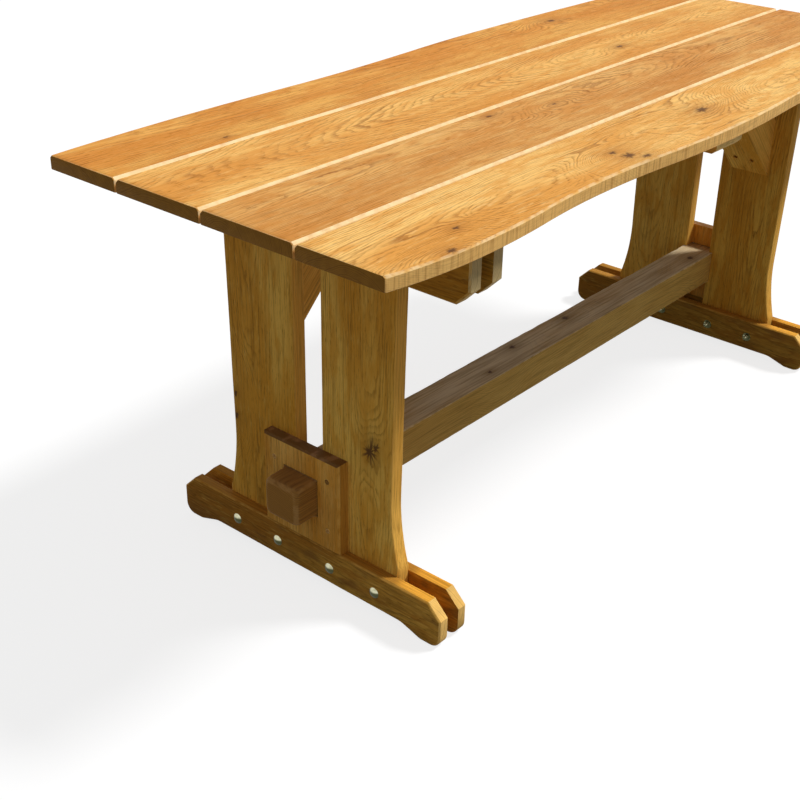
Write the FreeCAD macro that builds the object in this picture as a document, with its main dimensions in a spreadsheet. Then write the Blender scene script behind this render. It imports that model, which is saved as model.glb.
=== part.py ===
"""Trestle dining table in oak: plank top, two bolted trestles and a through stretcher.

Frame: X along the table, Y from front (-) to back (+), Z up, origin on the floor
under the middle of the top. All sizes are millimetres.
"""
import FreeCAD
import Part
import Sketcher
import math
import os

# Driving sizes: name, value, meaning
SIZES = (
    ("top_length", 1800, "length of the planks"),
    ("top_height", 750, "floor to the top face"),
    ("top_thickness", 24, "thickness of the planks"),
    ("plank_pitch", 189, "spacing of the joints between planks"),
    ("plank_gap", 3, "open gap between two planks"),
    ("plank_bevel", 3.5, "bevel on the straight upper edges of the planks"),
    ("wavy_bevel", 5, "bevel on the wavy upper edges"),
    ("front_end_reach", 353, "centre line to the front edge at the ends"),
    ("front_bulge_reach", 372, "centre line to the front edge by the trestles"),
    ("front_dip_reach", 354, "centre line to the front edge at its dips"),
    ("front_middle_reach", 370, "centre line to the front edge near the middle"),
    ("back_end_reach", 349, "centre line to the back edge at the ends"),
    ("back_bulge_reach", 360, "centre line to the back edge by the trestles"),
    ("back_dip_reach", 356, "centre line to the back edge at its dips"),
    ("back_middle_reach", 372, "centre line to the back edge at its widest"),
    ("end_overhang", 228, "end of the top to the middle of the trestle"),
    ("upright_thickness", 28, "thickness of the uprights"),
    ("rail_thickness", 21, "thickness of the foot rails"),
    ("cleat_thickness", 25, "thickness of the cleats"),
    ("brace_thickness", 90, "thickness of the knee braces across their slant"),
    ("board_bevel", 3, "bevel on the edges of uprights and cleats"),
    ("rail_round", 6, "rounding of the outer edges of the foot rails"),
    ("upright_gap", 62, "slot between the two uprights of a trestle"),
    ("upright_top_reach", 194, "centre line to an upright's outer edge at the top"),
    ("upright_waist_reach", 186, "centre line to the outer edge at the waist"),
    ("upright_foot_reach", 205, "centre line to the outer edge at the foot"),
    ("waist_height", 225, "floor to the waist of the uprights"),
    ("flare_height", 96, "floor to the lower end of the flare"),
    ("rail_length", 628, "length of the foot rails"),
    ("rail_height", 85, "height of the foot rails"),
    ("rail_bevel", 28, "bevel on the upper corners of the rails"),
    ("rail_relief", 14, "clear height under the middle of the rails"),
    ("toe_length", 42, "length of the toe that stands on the floor"),
    ("toe_slope", 44, "length of the slope from the toe to the relief"),
    ("toe_radius", 22, "rounding of the toe's lower corner"),
    ("relief_radius", 40, "rounding of the relief"),
    ("beam_width", 78, "width of the stretcher"),
    ("beam_height", 74, "height of the stretcher"),
    ("beam_bottom", 144, "floor to the underside of the stretcher"),
    ("tenon_length", 52, "length of the stretcher beyond the collar plates"),
    ("tenon_radius", 9, "rounding of the tenon's edges"),
    ("collar_width", 180, "width of the collar plates"),
    ("collar_height", 182, "height of the collar plates"),
    ("collar_thickness", 23, "thickness of the collar plates"),
    ("collar_bevel", 4, "bevel on the collar plates"),
    ("cleat_length", 694, "length of the cleats under the planks"),
    ("cleat_height", 90, "height of the cleats"),
    ("cleat_bevel", 25, "bevel on the lower corners of the cleats"),
    ("brace_width", 90, "width of the knee braces along the uprights"),
    ("brace_reach", 102, "centre line to the middle of a brace"),
    ("brace_run", 288, "length of a brace along the planks and down the upright"),
    ("batten_length", 724, "length of the middle batten"),
    ("batten_width", 90, "width of the middle batten"),
    ("batten_thickness", 20, "thickness of the middle batten"),
    ("batten_bevel", 8, "bevel on the lower ends of the batten"),
    ("foot_bolt_near", 64, "centre line to the inner foot bolts"),
    ("foot_bolt_far", 169, "centre line to the outer foot bolts"),
    ("foot_bolt_height", 46, "floor to the foot bolts"),
    ("cleat_bolt_near", 70, "centre line to the inner cleat bolts"),
    ("cleat_bolt_far", 160, "centre line to the outer cleat bolts"),
    ("bolt_diameter", 8, "shank of the carriage bolts"),
    ("bolt_head_diameter", 20.6, "dome head of the carriage bolts"),
    ("bolt_head_height", 4.9, "height of the dome head"),
    ("bolt_tail", 6, "bolt end standing out of the nut"),
    ("washer_diameter", 20, "outside of the washers"),
    ("washer_thickness", 1.6, "thickness of the washers"),
    ("nut_width", 13, "across the flats of the nuts"),
    ("nut_height", 6.5, "height of the nuts"),
    ("screw_diameter", 5, "shank of the countersunk screws"),
    ("screw_head_diameter", 10, "countersunk and pan heads"),
    ("screw_head_height", 3.2, "height of the screw heads"),
    ("screw_tip", 6, "length of the screws' points"),
    ("screw_bite", 16, "how deep the screws hold in the second board"),
    ("collar_screw_side", 27, "side of a collar plate to its screws"),
    ("collar_screw_edge", 41, "upper or lower edge of a collar plate to its screws"),
    ("cleat_counterbore", 36, "depth of the plank screws' holes in the cleats"),
    ("brace_screw_offset", 40, "end of a brace's lower face to its screws"),
    ("brace_screw_seat", 22, "wood left under a brace screw's head"),
    ("brace_screw_spread", 40, "distance between the two screws at a brace end"),
    ("batten_screw_spread", 50, "distance between the two screws in one plank"),
    ("fit_clearance", 0.3, "play around the stretcher between the uprights"),
    ("collar_clearance", 1.5, "play beside and above the tenon in a collar plate"),
    ("hole_clearance", 0.4, "hole diameter over the bolt or screw"),
    ("tip_clearance", 0.5, "free depth beyond a screw's point"),
)

# Turning points of the wavy edges, as shares of half the top's length
FRONT_TURN_SHARES = (-0.80, -0.43, -0.01, 0.45, 0.78)
BACK_TURN_SHARES = (-0.66, -0.28, 0.26)

# Side of a trestle's own frame that has the brace: the back on the left trestle
BRACE_SIDE = 1
# Slant of the braces: thickness measured upright on a board at 45 degrees
SLANT_RATIO = math.sqrt(2)
# Corner radius of a hexagon over its width across the flats
HEXAGON_RATIO = 1 / math.sqrt(3)
HEXAGON_SIDES = 6

doc = FreeCAD.newDocument("TrestleTable")
sheet = doc.addObject("Spreadsheet::Sheet", "Sizes")
for row, (alias, value, meaning) in enumerate(SIZES, start=1):
    sheet.set(f"A{row}", meaning)
    sheet.set(f"B{row}", str(value))
    sheet.setAlias(f"B{row}", alias)
doc.recompute()


class Size:
    """A length with the sheet formula that gives it."""

    def __init__(self, value, formula):
        self.value = float(value)
        self.formula = formula

    @staticmethod
    def of(item):
        """Turn a plain number, such as zero or a ratio, into a Size."""
        if isinstance(item, Size):
            return item
        return Size(item, repr(item))

    def __add__(self, other):
        other = Size.of(other)
        return Size(self.value + other.value, f"({self.formula} + {other.formula})")

    def __sub__(self, other):
        other = Size.of(other)
        return Size(self.value - other.value, f"({self.formula} - {other.formula})")

    def __mul__(self, ratio):
        return Size(self.value * ratio, f"({self.formula} * ({ratio!r}))")

    def __truediv__(self, ratio):
        return Size(self.value / ratio, f"({self.formula} / {ratio!r})")

    def __neg__(self):
        return self * -1

    __rmul__ = __mul__


class Sheet:
    """Gives each cell of the sheet as a Size, by its name."""

    def __getattr__(self, alias):
        return Size(sheet.get(alias), f"Sizes.{alias}")


S = Sheet()
ZERO = Size(0, "0")


def bind(item, path, size):
    """Tie one property of an object to a formula of the sheet."""
    item.setExpression(path, Size.of(size).formula)


def new_body(label):
    """Start a sub-part under its own name."""
    body = doc.addObject("PartDesign::Body", label)
    body.Label = label
    body.AllowCompound = True
    return body


def new_sketch(body, plane, origin=(ZERO, ZERO, ZERO)):
    """Draw on an origin plane moved to a point of the body's own frame."""
    sketch = body.newObject("Sketcher::SketchObject", "Sketch")
    support = [item for item in body.Origin.OriginFeatures if item.Role == plane]
    sketch.AttachmentSupport = (support[0], [""])
    sketch.MapMode = "FlatFace"
    x, y, z = origin
    local = {"XY_Plane": (x, y, z), "XZ_Plane": (x, z, -y), "YZ_Plane": (y, z, x)}[plane]
    for axis, size in zip("xyz", local):
        bind(sketch, f"AttachmentOffset.Base.{axis}", size)
    return sketch


def pin(sketch, geometry, vertex, x, y):
    """Hold a vertex at a place given by two formulas."""
    for kind, size, axis in (("DistanceX", x, -2), ("DistanceY", y, -1)):
        if size.value == 0:
            sketch.addConstraint(Sketcher.Constraint("PointOnObject", geometry, vertex, axis))
            continue
        rule = Sketcher.Constraint(kind, -1, 1, geometry, vertex, size.value)
        bind(sketch, f"Constraints[{sketch.addConstraint(rule)}]", size)


def add_arc(sketch, start, end, centre_axis, centre_size):
    """Add an arc between two points when one coordinate of its centre is known."""
    (x1, y1), (x2, y2) = [(x.value, y.value) for x, y in (start, end)]
    known = centre_size.value
    if centre_axis == "x":
        rise = (x2 - known) ** 2 - (x1 - known) ** 2 + y2 ** 2 - y1 ** 2
        cx, cy = known, rise / (2 * (y2 - y1))
    else:
        rise = (y2 - known) ** 2 - (y1 - known) ** 2 + x2 ** 2 - x1 ** 2
        cx, cy = rise / (2 * (x2 - x1)), known
    turn = (x1 - cx) * (y2 - cy) - (y1 - cy) * (x2 - cx)
    first, last = ((x1, y1), (x2, y2)) if turn > 0 else ((x2, y2), (x1, y1))
    circle = Part.Circle(FreeCAD.Vector(cx, cy, 0), FreeCAD.Vector(0, 0, 1), math.hypot(x1 - cx, y1 - cy))
    angles = [math.atan2(y - cy, x - cx) for x, y in (first, last)]
    geometry = sketch.addGeometry(Part.ArcOfCircle(circle, *angles), False)
    kind = "DistanceX" if centre_axis == "x" else "DistanceY"
    rule = Sketcher.Constraint(kind, -1, 1, geometry, 3, known)
    if known == 0:
        rule = Sketcher.Constraint("PointOnObject", geometry, 3, -2 if centre_axis == "x" else -1)
    index = sketch.addConstraint(rule)
    if known != 0:
        bind(sketch, f"Constraints[{index}]", centre_size)
    return (geometry, 1, 2) if turn > 0 else (geometry, 2, 1)


def add_outline(sketch, corners):
    """Close an outline through (x, y) corners.

    A corner may carry a third item, the (axis, size) of the centre of the arc to
    the next corner; the others are joined by straight lines.
    """
    pieces = []
    for index, corner in enumerate(corners):
        start = corner[:2]
        end = corners[(index + 1) % len(corners)][:2]
        if len(corner) > 2:
            pieces.append(add_arc(sketch, start, end, *corner[2]))
            continue
        ends = [FreeCAD.Vector(x.value, y.value, 0) for x, y in (start, end)]
        pieces.append((sketch.addGeometry(Part.LineSegment(*ends), False), 1, 2))
    for index, (geometry, first, last) in enumerate(pieces):
        following = pieces[(index + 1) % len(pieces)]
        sketch.addConstraint(Sketcher.Constraint("Coincident", geometry, last, following[0], following[1]))
        pin(sketch, geometry, first, *corners[index][:2])


def add_rectangle(sketch, x_low, x_high, y_low, y_high):
    """Close a rectangle between four sides."""
    add_outline(sketch, [(x_low, y_low), (x_high, y_low), (x_high, y_high), (x_low, y_high)])


def add_circle(sketch, x, y, diameter):
    """Add a circle about a point."""
    middle = FreeCAD.Vector(x.value, y.value, 0)
    circle = Part.Circle(middle, FreeCAD.Vector(0, 0, 1), diameter.value / 2)
    geometry = sketch.addGeometry(circle, False)
    pin(sketch, geometry, 3, x, y)
    rule = Sketcher.Constraint("Diameter", geometry, diameter.value)
    bind(sketch, f"Constraints[{sketch.addConstraint(rule)}]", diameter)


def pad(body, sketch, length, both_ways=False, backwards=False):
    """Raise a sketch into a solid."""
    feature = body.newObject("PartDesign::Pad", "Pad")
    feature.Profile = sketch
    feature.SideType = "Symmetric" if both_ways else "One side"
    feature.Reversed = backwards
    bind(feature, "Length", length)
    doc.recompute()
    return feature


def pocket(body, sketch, depth=None, backwards=False):
    """Cut a sketch into the solid, against the plane's normal, or right through."""
    before = body.Shape.Volume
    feature = body.newObject("PartDesign::Pocket", "Pocket")
    feature.Profile = sketch
    feature.Reversed = backwards
    if depth is None:
        feature.SideType = "Symmetric"
        feature.Type = "ThroughAll"
    else:
        bind(feature, "Length", depth)
    doc.recompute()
    if not body.Shape.Volume < before:
        raise RuntimeError(f"{body.Label}: a cut takes nothing away")
    return feature


def drill(body, plane, level, places, diameter, depth=None, backwards=False):
    """Drill round holes at (x, y) places of a plane that lies at a level along its axis."""
    origin = {"XY_Plane": (ZERO, ZERO, level), "YZ_Plane": (level, ZERO, ZERO)}[plane]
    sketch = new_sketch(body, plane, origin)
    for x, y in places:
        add_circle(sketch, x, y, diameter)
    pocket(body, sketch, depth, backwards)


def countersink(body, plane, level, places, backwards=False):
    """Cut the cones that take countersunk heads, from a level into the wood."""
    origin = {"XY_Plane": (ZERO, ZERO, level), "YZ_Plane": (level, ZERO, ZERO)}[plane]
    sketch = new_sketch(body, plane, origin)
    for x, y in places:
        add_circle(sketch, x, y, S.screw_head_diameter + S.hole_clearance)
    feature = pocket(body, sketch, S.screw_head_height, backwards)
    flare = (S.screw_head_diameter - S.screw_diameter) / 2
    feature.setExpression("TaperAngle", f"-atan({flare.formula} / {S.screw_head_height.formula})")
    doc.recompute()


def outer_edges(feature, direction, curved=None):
    """Name the edges of the flat face that lies furthest along a direction."""
    axis = FreeCAD.Vector(*direction)
    flat = [face for face in feature.Shape.Faces if isinstance(face.Surface, Part.Plane)]
    face = max(flat, key=lambda item: item.CenterOfMass.dot(axis))
    names = []
    for index, edge in enumerate(feature.Shape.Edges, start=1):
        if not any(edge.isSame(rim) for rim in face.Edges):
            continue
        if curved is None or curved == isinstance(edge.Curve, Part.Circle):
            names.append(f"Edge{index}")
    return names


def matching_edges(feature, test):
    """Name the edges whose middle and span pass a test."""
    names = []
    for index, edge in enumerate(feature.Shape.Edges, start=1):
        box = edge.BoundBox
        span = FreeCAD.Vector(box.XLength, box.YLength, box.ZLength)
        if test(box.Center, span):
            names.append(f"Edge{index}")
    return names


def dress(body, kind, feature, edges, size):
    """Bevel or round named edges."""
    if not edges:
        raise RuntimeError(f"{body.Label}: no edge to dress")
    dressed = body.newObject(f"PartDesign::{kind}", kind)
    dressed.Base = (feature, edges)
    bind(dressed, "Size" if kind == "Chamfer" else "Radius", size)
    doc.recompute()
    return dressed


def place(body, x, y, z, turned=False):
    """Set a sub-part in the table; the right trestle is the left one turned half round."""
    sign = -1 if turned else 1
    for axis, size in (("x", sign * x), ("y", sign * y), ("z", z)):
        bind(body, f"Placement.Base.{axis}", size)
    turn = FreeCAD.Rotation(FreeCAD.Vector(0, 0, 1), 180 if turned else 0)
    body.Placement = FreeCAD.Placement(body.Placement.Base, turn)
    doc.recompute()


# Levels and places that several pieces share
underside = S.top_height - S.top_thickness
cleat_bottom = underside - S.cleat_height
half_upright = S.upright_thickness / 2
foot_side = half_upright + S.rail_thickness
cleat_side = half_upright + S.cleat_thickness
trestle_x = S.end_overhang - S.top_length / 2
half_length = S.top_length / 2
half_gap = S.upright_gap / 2
beam_top = S.beam_bottom + S.beam_height
collar_top = S.rail_height + S.collar_height
bolt_hole = S.bolt_diameter + S.hole_clearance
screw_hole = S.screw_diameter + S.hole_clearance
counterbore = S.screw_head_diameter + S.hole_clearance
bite_depth = S.screw_bite + S.tip_clearance
inner_plank_middle = S.plank_pitch / 2
outer_plank_middle = (S.plank_pitch + S.front_end_reach) / 2
plank_middles = (-outer_plank_middle, -inner_plank_middle, inner_plank_middle, outer_plank_middle)
foot_bolt_y = (S.foot_bolt_near, S.foot_bolt_far)
foot_bolt_places = [(side * y, S.foot_bolt_height) for side in (-1, 1) for y in foot_bolt_y]
cleat_bolt_y = (S.cleat_bolt_near, S.cleat_bolt_far)
cleat_bolt_height = cleat_bottom + S.cleat_height / 2
cleat_bolt_places = [(side * y, cleat_bolt_height) for side in (-1, 1) for y in cleat_bolt_y]
collar_screw_y = S.collar_width / 2 - S.collar_screw_side
collar_screw_levels = (S.rail_height + S.collar_screw_edge, collar_top - S.collar_screw_edge)
brace_foot = underside - S.brace_run
brace_screw_y = [S.brace_reach + side * S.brace_screw_spread / 2 for side in (-1, 1)]
brace_screw_level = brace_foot + S.brace_screw_offset
brace_screw_x = half_upright + S.brace_run - S.brace_screw_offset
rail_middle = half_upright + S.rail_thickness / 2
cleat_middle = half_upright + S.cleat_thickness / 2
cleat_middles = (-cleat_middle, cleat_middle)
batten_screw_x = [side * S.batten_screw_spread / 2 for side in (-1, 1)]


def wavy_edge(side, reaches, turn_shares):
    """Corners of a wavy long edge, from the left end to the right end.

    Each turning point has a level tangent; two equal arcs meet half way between
    neighbouring turning points, so the whole edge is smooth.
    """
    shares = (-1, *turn_shares, 1)
    turns = [(half_length * share, side * reach) for share, reach in zip(shares, reaches)]
    corners = [(*turns[0], ("x", turns[1][0]))]
    for (x1, y1), (x2, y2) in zip(turns[1:-2], turns[2:-1]):
        corners.append((x1, y1, ("x", x1)))
        corners.append(((x1 + x2) / 2, (y1 + y2) / 2, ("x", x2)))
    corners.append((*turns[-2], ("x", turns[-2][0])))
    corners.append(turns[-1])
    return corners


def finish_plank(body, feature, screw_line):
    """Bevel the upper edges of a plank and drill its underside."""
    straight = outer_edges(feature, (0, 0, 1), curved=False)
    feature = dress(body, "Chamfer", feature, straight, S.plank_bevel)
    wavy = outer_edges(feature, (0, 0, 1), curved=True)
    if wavy:
        dress(body, "Chamfer", feature, wavy, S.wavy_bevel)
    places = [(side * trestle_x + middle, screw_line) for side in (-1, 1) for middle in cleat_middles]
    places += [(x, screw_line) for x in batten_screw_x]
    drill(body, "XY_Plane", ZERO, places, screw_hole, bite_depth, backwards=True)
    place(body, ZERO, ZERO, underside)


def make_outer_plank(label, side, reaches, turn_shares):
    """Outer plank: straight on the joint side, wavy on the long outer side."""
    body = new_body(label)
    sketch = new_sketch(body, "XY_Plane")
    joint = side * (S.plank_pitch + S.plank_gap / 2)
    corners = wavy_edge(side, reaches, turn_shares)
    corners += [(half_length, joint), (-half_length, joint)]
    add_outline(sketch, corners)
    finish_plank(body, pad(body, sketch, S.top_thickness), side * outer_plank_middle)
    return body


def make_inner_plank(label, side):
    """Inner plank: straight on both sides, also screwed to the brace at one end."""
    body = new_body(label)
    sketch = new_sketch(body, "XY_Plane")
    near = side * S.plank_gap / 2
    far = side * (S.plank_pitch - S.plank_gap / 2)
    add_rectangle(sketch, -half_length, half_length, near, far)
    finish_plank(body, pad(body, sketch, S.top_thickness), side * inner_plank_middle)
    places = [(side * (trestle_x + brace_screw_x), side * y) for y in brace_screw_y]
    drill(body, "XY_Plane", ZERO, places, screw_hole, bite_depth, backwards=True)
    return body


def make_upright(label, side, turned):
    """Upright: straight by the slot, waisted and flared outside, notched for the stretcher."""
    body = new_body(label)
    sketch = new_sketch(body, "YZ_Plane")
    waist = ("y", S.waist_height)
    add_outline(sketch, [
        (side * half_gap, S.rail_relief),
        (side * S.upright_foot_reach, S.rail_relief),
        (side * S.upright_foot_reach, S.flare_height, waist),
        (side * S.upright_waist_reach, S.waist_height, waist),
        (side * S.upright_top_reach, underside),
        (side * half_gap, underside),
    ])
    feature = pad(body, sketch, S.upright_thickness, both_ways=True)
    long_edges = matching_edges(feature, lambda middle, span: span.z > span.y and span.z > span.x)
    dress(body, "Chamfer", feature, long_edges, S.board_bevel)
    notch = new_sketch(body, "YZ_Plane")
    notch_side = side * (S.beam_width / 2 + S.fit_clearance)
    add_rectangle(notch, ZERO, notch_side, S.beam_bottom, beam_top + S.fit_clearance)
    pocket(body, notch)
    bolts = [(side * y, S.foot_bolt_height) for y in foot_bolt_y]
    bolts += [(side * y, cleat_bolt_height) for y in cleat_bolt_y]
    drill(body, "YZ_Plane", ZERO, bolts, bolt_hole)
    collar_screws = [(side * collar_screw_y, level) for level in collar_screw_levels]
    drill(body, "YZ_Plane", -half_upright, collar_screws, screw_hole, bite_depth, backwards=True)
    if side == BRACE_SIDE:
        brace_screws = [(side * y, brace_screw_level) for y in brace_screw_y]
        drill(body, "YZ_Plane", half_upright, brace_screws, screw_hole, bite_depth)
    place(body, trestle_x, ZERO, ZERO, turned)
    return body


def make_foot_rail(label, outside, turned):
    """Foot rail: bevelled upper corners, rounded toes and a relieved underside."""
    body = new_body(label)
    sketch = new_sketch(body, "YZ_Plane")
    end = S.rail_length / 2
    heel = end - S.toe_length
    relief = heel - S.toe_slope
    half = [
        (relief, S.rail_relief),
        (heel, ZERO),
        (end, ZERO),
        (end, S.rail_height - S.rail_bevel),
        (end - S.rail_bevel, S.rail_height),
    ]
    add_outline(sketch, half + [(-y, z) for y, z in reversed(half)])
    feature = pad(body, sketch, S.rail_thickness, both_ways=True)
    corners = (
        (end, S.toe_radius),
        (heel, S.toe_radius),
        (relief, S.relief_radius),
    )
    for corner, radius in corners:
        reach = corner.value

        def at_corner(middle, span):
            """Tell whether an edge runs across the board at this lower corner."""
            low = middle.z < S.rail_height.value / 2 and span.x > span.z
            return low and math.isclose(abs(middle.y), reach)

        feature = dress(body, "Fillet", feature, matching_edges(feature, at_corner), radius)
    face = -1 if outside else 1
    dress(body, "Fillet", feature, outer_edges(feature, (face, 0, 0)), S.rail_round)
    drill(body, "YZ_Plane", ZERO, foot_bolt_places, bolt_hole)
    place(body, trestle_x + face * rail_middle, ZERO, ZERO, turned)
    return body


def make_cleat(label, outside, turned):
    """Cleat: bevelled lower corners, bolted to the uprights and screwed to the planks."""
    body = new_body(label)
    sketch = new_sketch(body, "YZ_Plane")
    end = S.cleat_length / 2
    half = [
        (end - S.cleat_bevel, cleat_bottom),
        (end, cleat_bottom + S.cleat_bevel),
        (end, underside),
    ]
    add_outline(sketch, half + [(-y, z) for y, z in reversed(half)])
    feature = pad(body, sketch, S.cleat_thickness, both_ways=True)
    face = -1 if outside else 1

    def on_face(middle, span):
        """Tell whether an edge bounds the outer face, apart from the seat of the planks."""
        return middle.x * face > 0 and span.x < span.y + span.z and middle.z < underside.value

    dress(body, "Chamfer", feature, matching_edges(feature, on_face), S.board_bevel)
    drill(body, "YZ_Plane", ZERO, cleat_bolt_places, bolt_hole)
    screws = [(ZERO, y) for y in plank_middles]
    drill(body, "XY_Plane", cleat_bottom, screws, screw_hole, S.cleat_height, backwards=True)
    drill(body, "XY_Plane", cleat_bottom, screws, counterbore, S.cleat_counterbore, backwards=True)
    place(body, trestle_x + face * cleat_middle, ZERO, ZERO, turned)
    return body


def make_collar(label, turned):
    """Collar plate: stands on the outer foot rail and frames the tenon."""
    body = new_body(label)
    sketch = new_sketch(body, "YZ_Plane")
    side = S.collar_width / 2
    add_rectangle(sketch, -side, side, S.rail_height, collar_top)
    feature = pad(body, sketch, S.collar_thickness, both_ways=True)
    dress(body, "Chamfer", feature, outer_edges(feature, (-1, 0, 0)), S.collar_bevel)
    opening = new_sketch(body, "YZ_Plane")
    opening_side = S.beam_width / 2 + S.collar_clearance
    add_rectangle(opening, -opening_side, opening_side, S.beam_bottom, beam_top + S.collar_clearance)
    pocket(body, opening)
    screws = [(hand * collar_screw_y, level) for hand in (-1, 1) for level in collar_screw_levels]
    drill(body, "YZ_Plane", ZERO, screws, screw_hole)
    countersink(body, "YZ_Plane", -S.collar_thickness / 2, screws, backwards=True)
    place(body, trestle_x - half_upright - S.collar_thickness / 2, ZERO, ZERO, turned)
    return body


def make_brace(label, turned):
    """Brace: a stout knee at 45 degrees from one upright to an inner plank."""
    body = new_body(label)
    sketch = new_sketch(body, "XZ_Plane")
    slanted_thickness = S.brace_thickness * SLANT_RATIO
    add_outline(sketch, [
        (ZERO, brace_foot),
        (S.brace_run, underside),
        (S.brace_run - slanted_thickness, underside),
        (ZERO, brace_foot + slanted_thickness),
    ])
    pad(body, sketch, S.brace_width, both_ways=True)
    spread = [hand * S.brace_screw_spread / 2 for hand in (-1, 1)]
    foot = [(y, brace_screw_level) for y in spread]
    drill(body, "YZ_Plane", ZERO, foot, screw_hole, S.brace_screw_offset, backwards=True)
    drill(body, "YZ_Plane", S.brace_screw_seat, foot, counterbore, S.brace_screw_offset, backwards=True)
    head = [(S.brace_run - S.brace_screw_offset, y) for y in spread]
    drill(body, "XY_Plane", underside, head, screw_hole, S.brace_screw_offset)
    drill(body, "XY_Plane", underside - S.brace_screw_seat, head, counterbore, S.brace_screw_offset)
    place(body, trestle_x + half_upright, BRACE_SIDE * S.brace_reach, ZERO, turned)
    return body


def make_beam(label):
    """Stretcher: one timber through both trestles, with rounded tenons outside the collars."""
    body = new_body(label)
    sketch = new_sketch(body, "YZ_Plane")
    side = S.beam_width / 2
    add_rectangle(sketch, -side, side, S.beam_bottom, beam_top)
    collar_face = half_upright + S.collar_thickness - trestle_x
    pad(body, sketch, collar_face * 2, both_ways=True)
    for hand in (-1, 1):
        tenon = new_sketch(body, "YZ_Plane", (hand * collar_face, ZERO, ZERO))
        turn = S.tenon_radius
        low, high = S.beam_bottom, beam_top
        add_outline(tenon, [
            (turn - side, low),
            (side - turn, low, ("x", side - turn)),
            (side, low + turn),
            (side, high - turn, ("x", side - turn)),
            (side - turn, high),
            (turn - side, high, ("x", turn - side)),
            (-side, high - turn),
            (-side, low + turn, ("x", turn - side)),
        ])
        feature = pad(body, tenon, S.tenon_length, backwards=hand < 0)
        dress(body, "Fillet", feature, outer_edges(feature, (hand, 0, 0)), turn)
    return body


def make_batten(label):
    """Batten: a flat board across the planks at mid length."""
    body = new_body(label)
    sketch = new_sketch(body, "YZ_Plane")
    end = S.batten_length / 2
    low = underside - S.batten_thickness
    half = [(end - S.batten_bevel, low), (end, low + S.batten_bevel), (end, underside)]
    add_outline(sketch, half + [(-y, z) for y, z in reversed(half)])
    pad(body, sketch, S.batten_width, both_ways=True)
    screws = [(x, y) for x in batten_screw_x for y in plank_middles]
    drill(body, "XY_Plane", low, screws, screw_hole, S.batten_thickness, backwards=True)
    countersink(body, "XY_Plane", low, screws, backwards=True)
    return body


def turn_profile(body, axis, origin, corners):
    """Revolve (along, radius) corners about an axis through a point."""
    sketch = new_sketch(body, "XZ_Plane", origin)
    if axis == "X":
        add_outline(sketch, corners)
    else:
        add_outline(sketch, [(corner[1], corner[0]) for corner in corners])
    feature = body.newObject("PartDesign::Revolution", "Revolution")
    feature.Profile = sketch
    feature.ReferenceAxis = (sketch, ["H_Axis" if axis == "X" else "V_Axis"])
    feature.Angle = 360
    doc.recompute()
    return feature


def make_bolts(label, places, clamp_side):
    """Carriage bolts with dome heads outside and tails inside both trestles."""
    body = new_body(label)
    length = clamp_side * 2 + S.washer_thickness + S.nut_height + S.bolt_tail
    head = S.bolt_head_diameter / 2
    shank = S.bolt_diameter / 2
    for hand in (1, -1):
        corners = [
            (ZERO, head, ("y", ZERO)),
            (-hand * S.bolt_head_height, ZERO),
            (hand * length, ZERO),
            (hand * length, shank),
            (ZERO, shank),
        ]
        for y, z in places:
            turn_profile(body, "X", (hand * (trestle_x - clamp_side), y, z), corners)
    return body


def make_washers(label, places, clamp_side):
    """Flat washers on the inner face of the trestles."""
    body = new_body(label)
    for hand in (1, -1):
        sketch = new_sketch(body, "YZ_Plane", (hand * (trestle_x + clamp_side), ZERO, ZERO))
        for y, z in places:
            add_circle(sketch, y, z, S.washer_diameter)
            add_circle(sketch, y, z, bolt_hole)
        pad(body, sketch, S.washer_thickness, backwards=hand < 0)
    return body


def make_nuts(label, places, clamp_side):
    """Hexagon nuts on the washers."""
    body = new_body(label)
    corner = S.nut_width * HEXAGON_RATIO
    angles = [2 * math.pi * step / HEXAGON_SIDES for step in range(HEXAGON_SIDES)]
    for hand in (1, -1):
        seat = hand * (trestle_x + clamp_side + S.washer_thickness)
        sketch = new_sketch(body, "YZ_Plane", (seat, ZERO, ZERO))
        for y, z in places:
            add_outline(sketch, [(y + corner * math.cos(a), z + corner * math.sin(a)) for a in angles])
            add_circle(sketch, y, z, bolt_hole)
        pad(body, sketch, S.nut_height, backwards=hand < 0)
    return body


def add_screw(body, axis, origin, sense, length, countersunk):
    """Add one screw whose head seats at a point and whose shank runs along the axis."""
    head = S.screw_head_diameter / 2
    shank = S.screw_diameter / 2
    tip = [(sense * (length - S.screw_tip), shank), (sense * length, ZERO)]
    if countersunk:
        corners = [(ZERO, ZERO), (ZERO, head), (sense * S.screw_head_height, shank)] + tip
    else:
        top = -sense * S.screw_head_height
        corners = [(top, ZERO), (top, head), (ZERO, head), (ZERO, shank)] + tip
    turn_profile(body, axis, origin, corners)


def make_collar_screws(label):
    """Countersunk screws from the collar plates into the uprights."""
    body = new_body(label)
    length = S.collar_thickness + S.screw_bite
    for hand in (1, -1):
        seat = hand * (trestle_x - half_upright - S.collar_thickness)
        for side in (-1, 1):
            for level in collar_screw_levels:
                add_screw(body, "X", (seat, side * collar_screw_y, level), hand, length, True)
    return body


def make_plank_screws(label):
    """Screws from the bottom of the cleats' holes up into the planks."""
    body = new_body(label)
    seat = cleat_bottom + S.cleat_counterbore
    length = underside - seat + S.screw_bite
    for hand in (1, -1):
        for middle in cleat_middles:
            for y in plank_middles:
                add_screw(body, "Z", (hand * trestle_x + middle, y, seat), 1, length, False)
    return body


def make_batten_screws(label):
    """Countersunk screws from the batten up into the planks."""
    body = new_body(label)
    length = S.batten_thickness + S.screw_bite
    for x in batten_screw_x:
        for y in plank_middles:
            add_screw(body, "Z", (x, y, underside - S.batten_thickness), 1, length, True)
    return body


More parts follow.
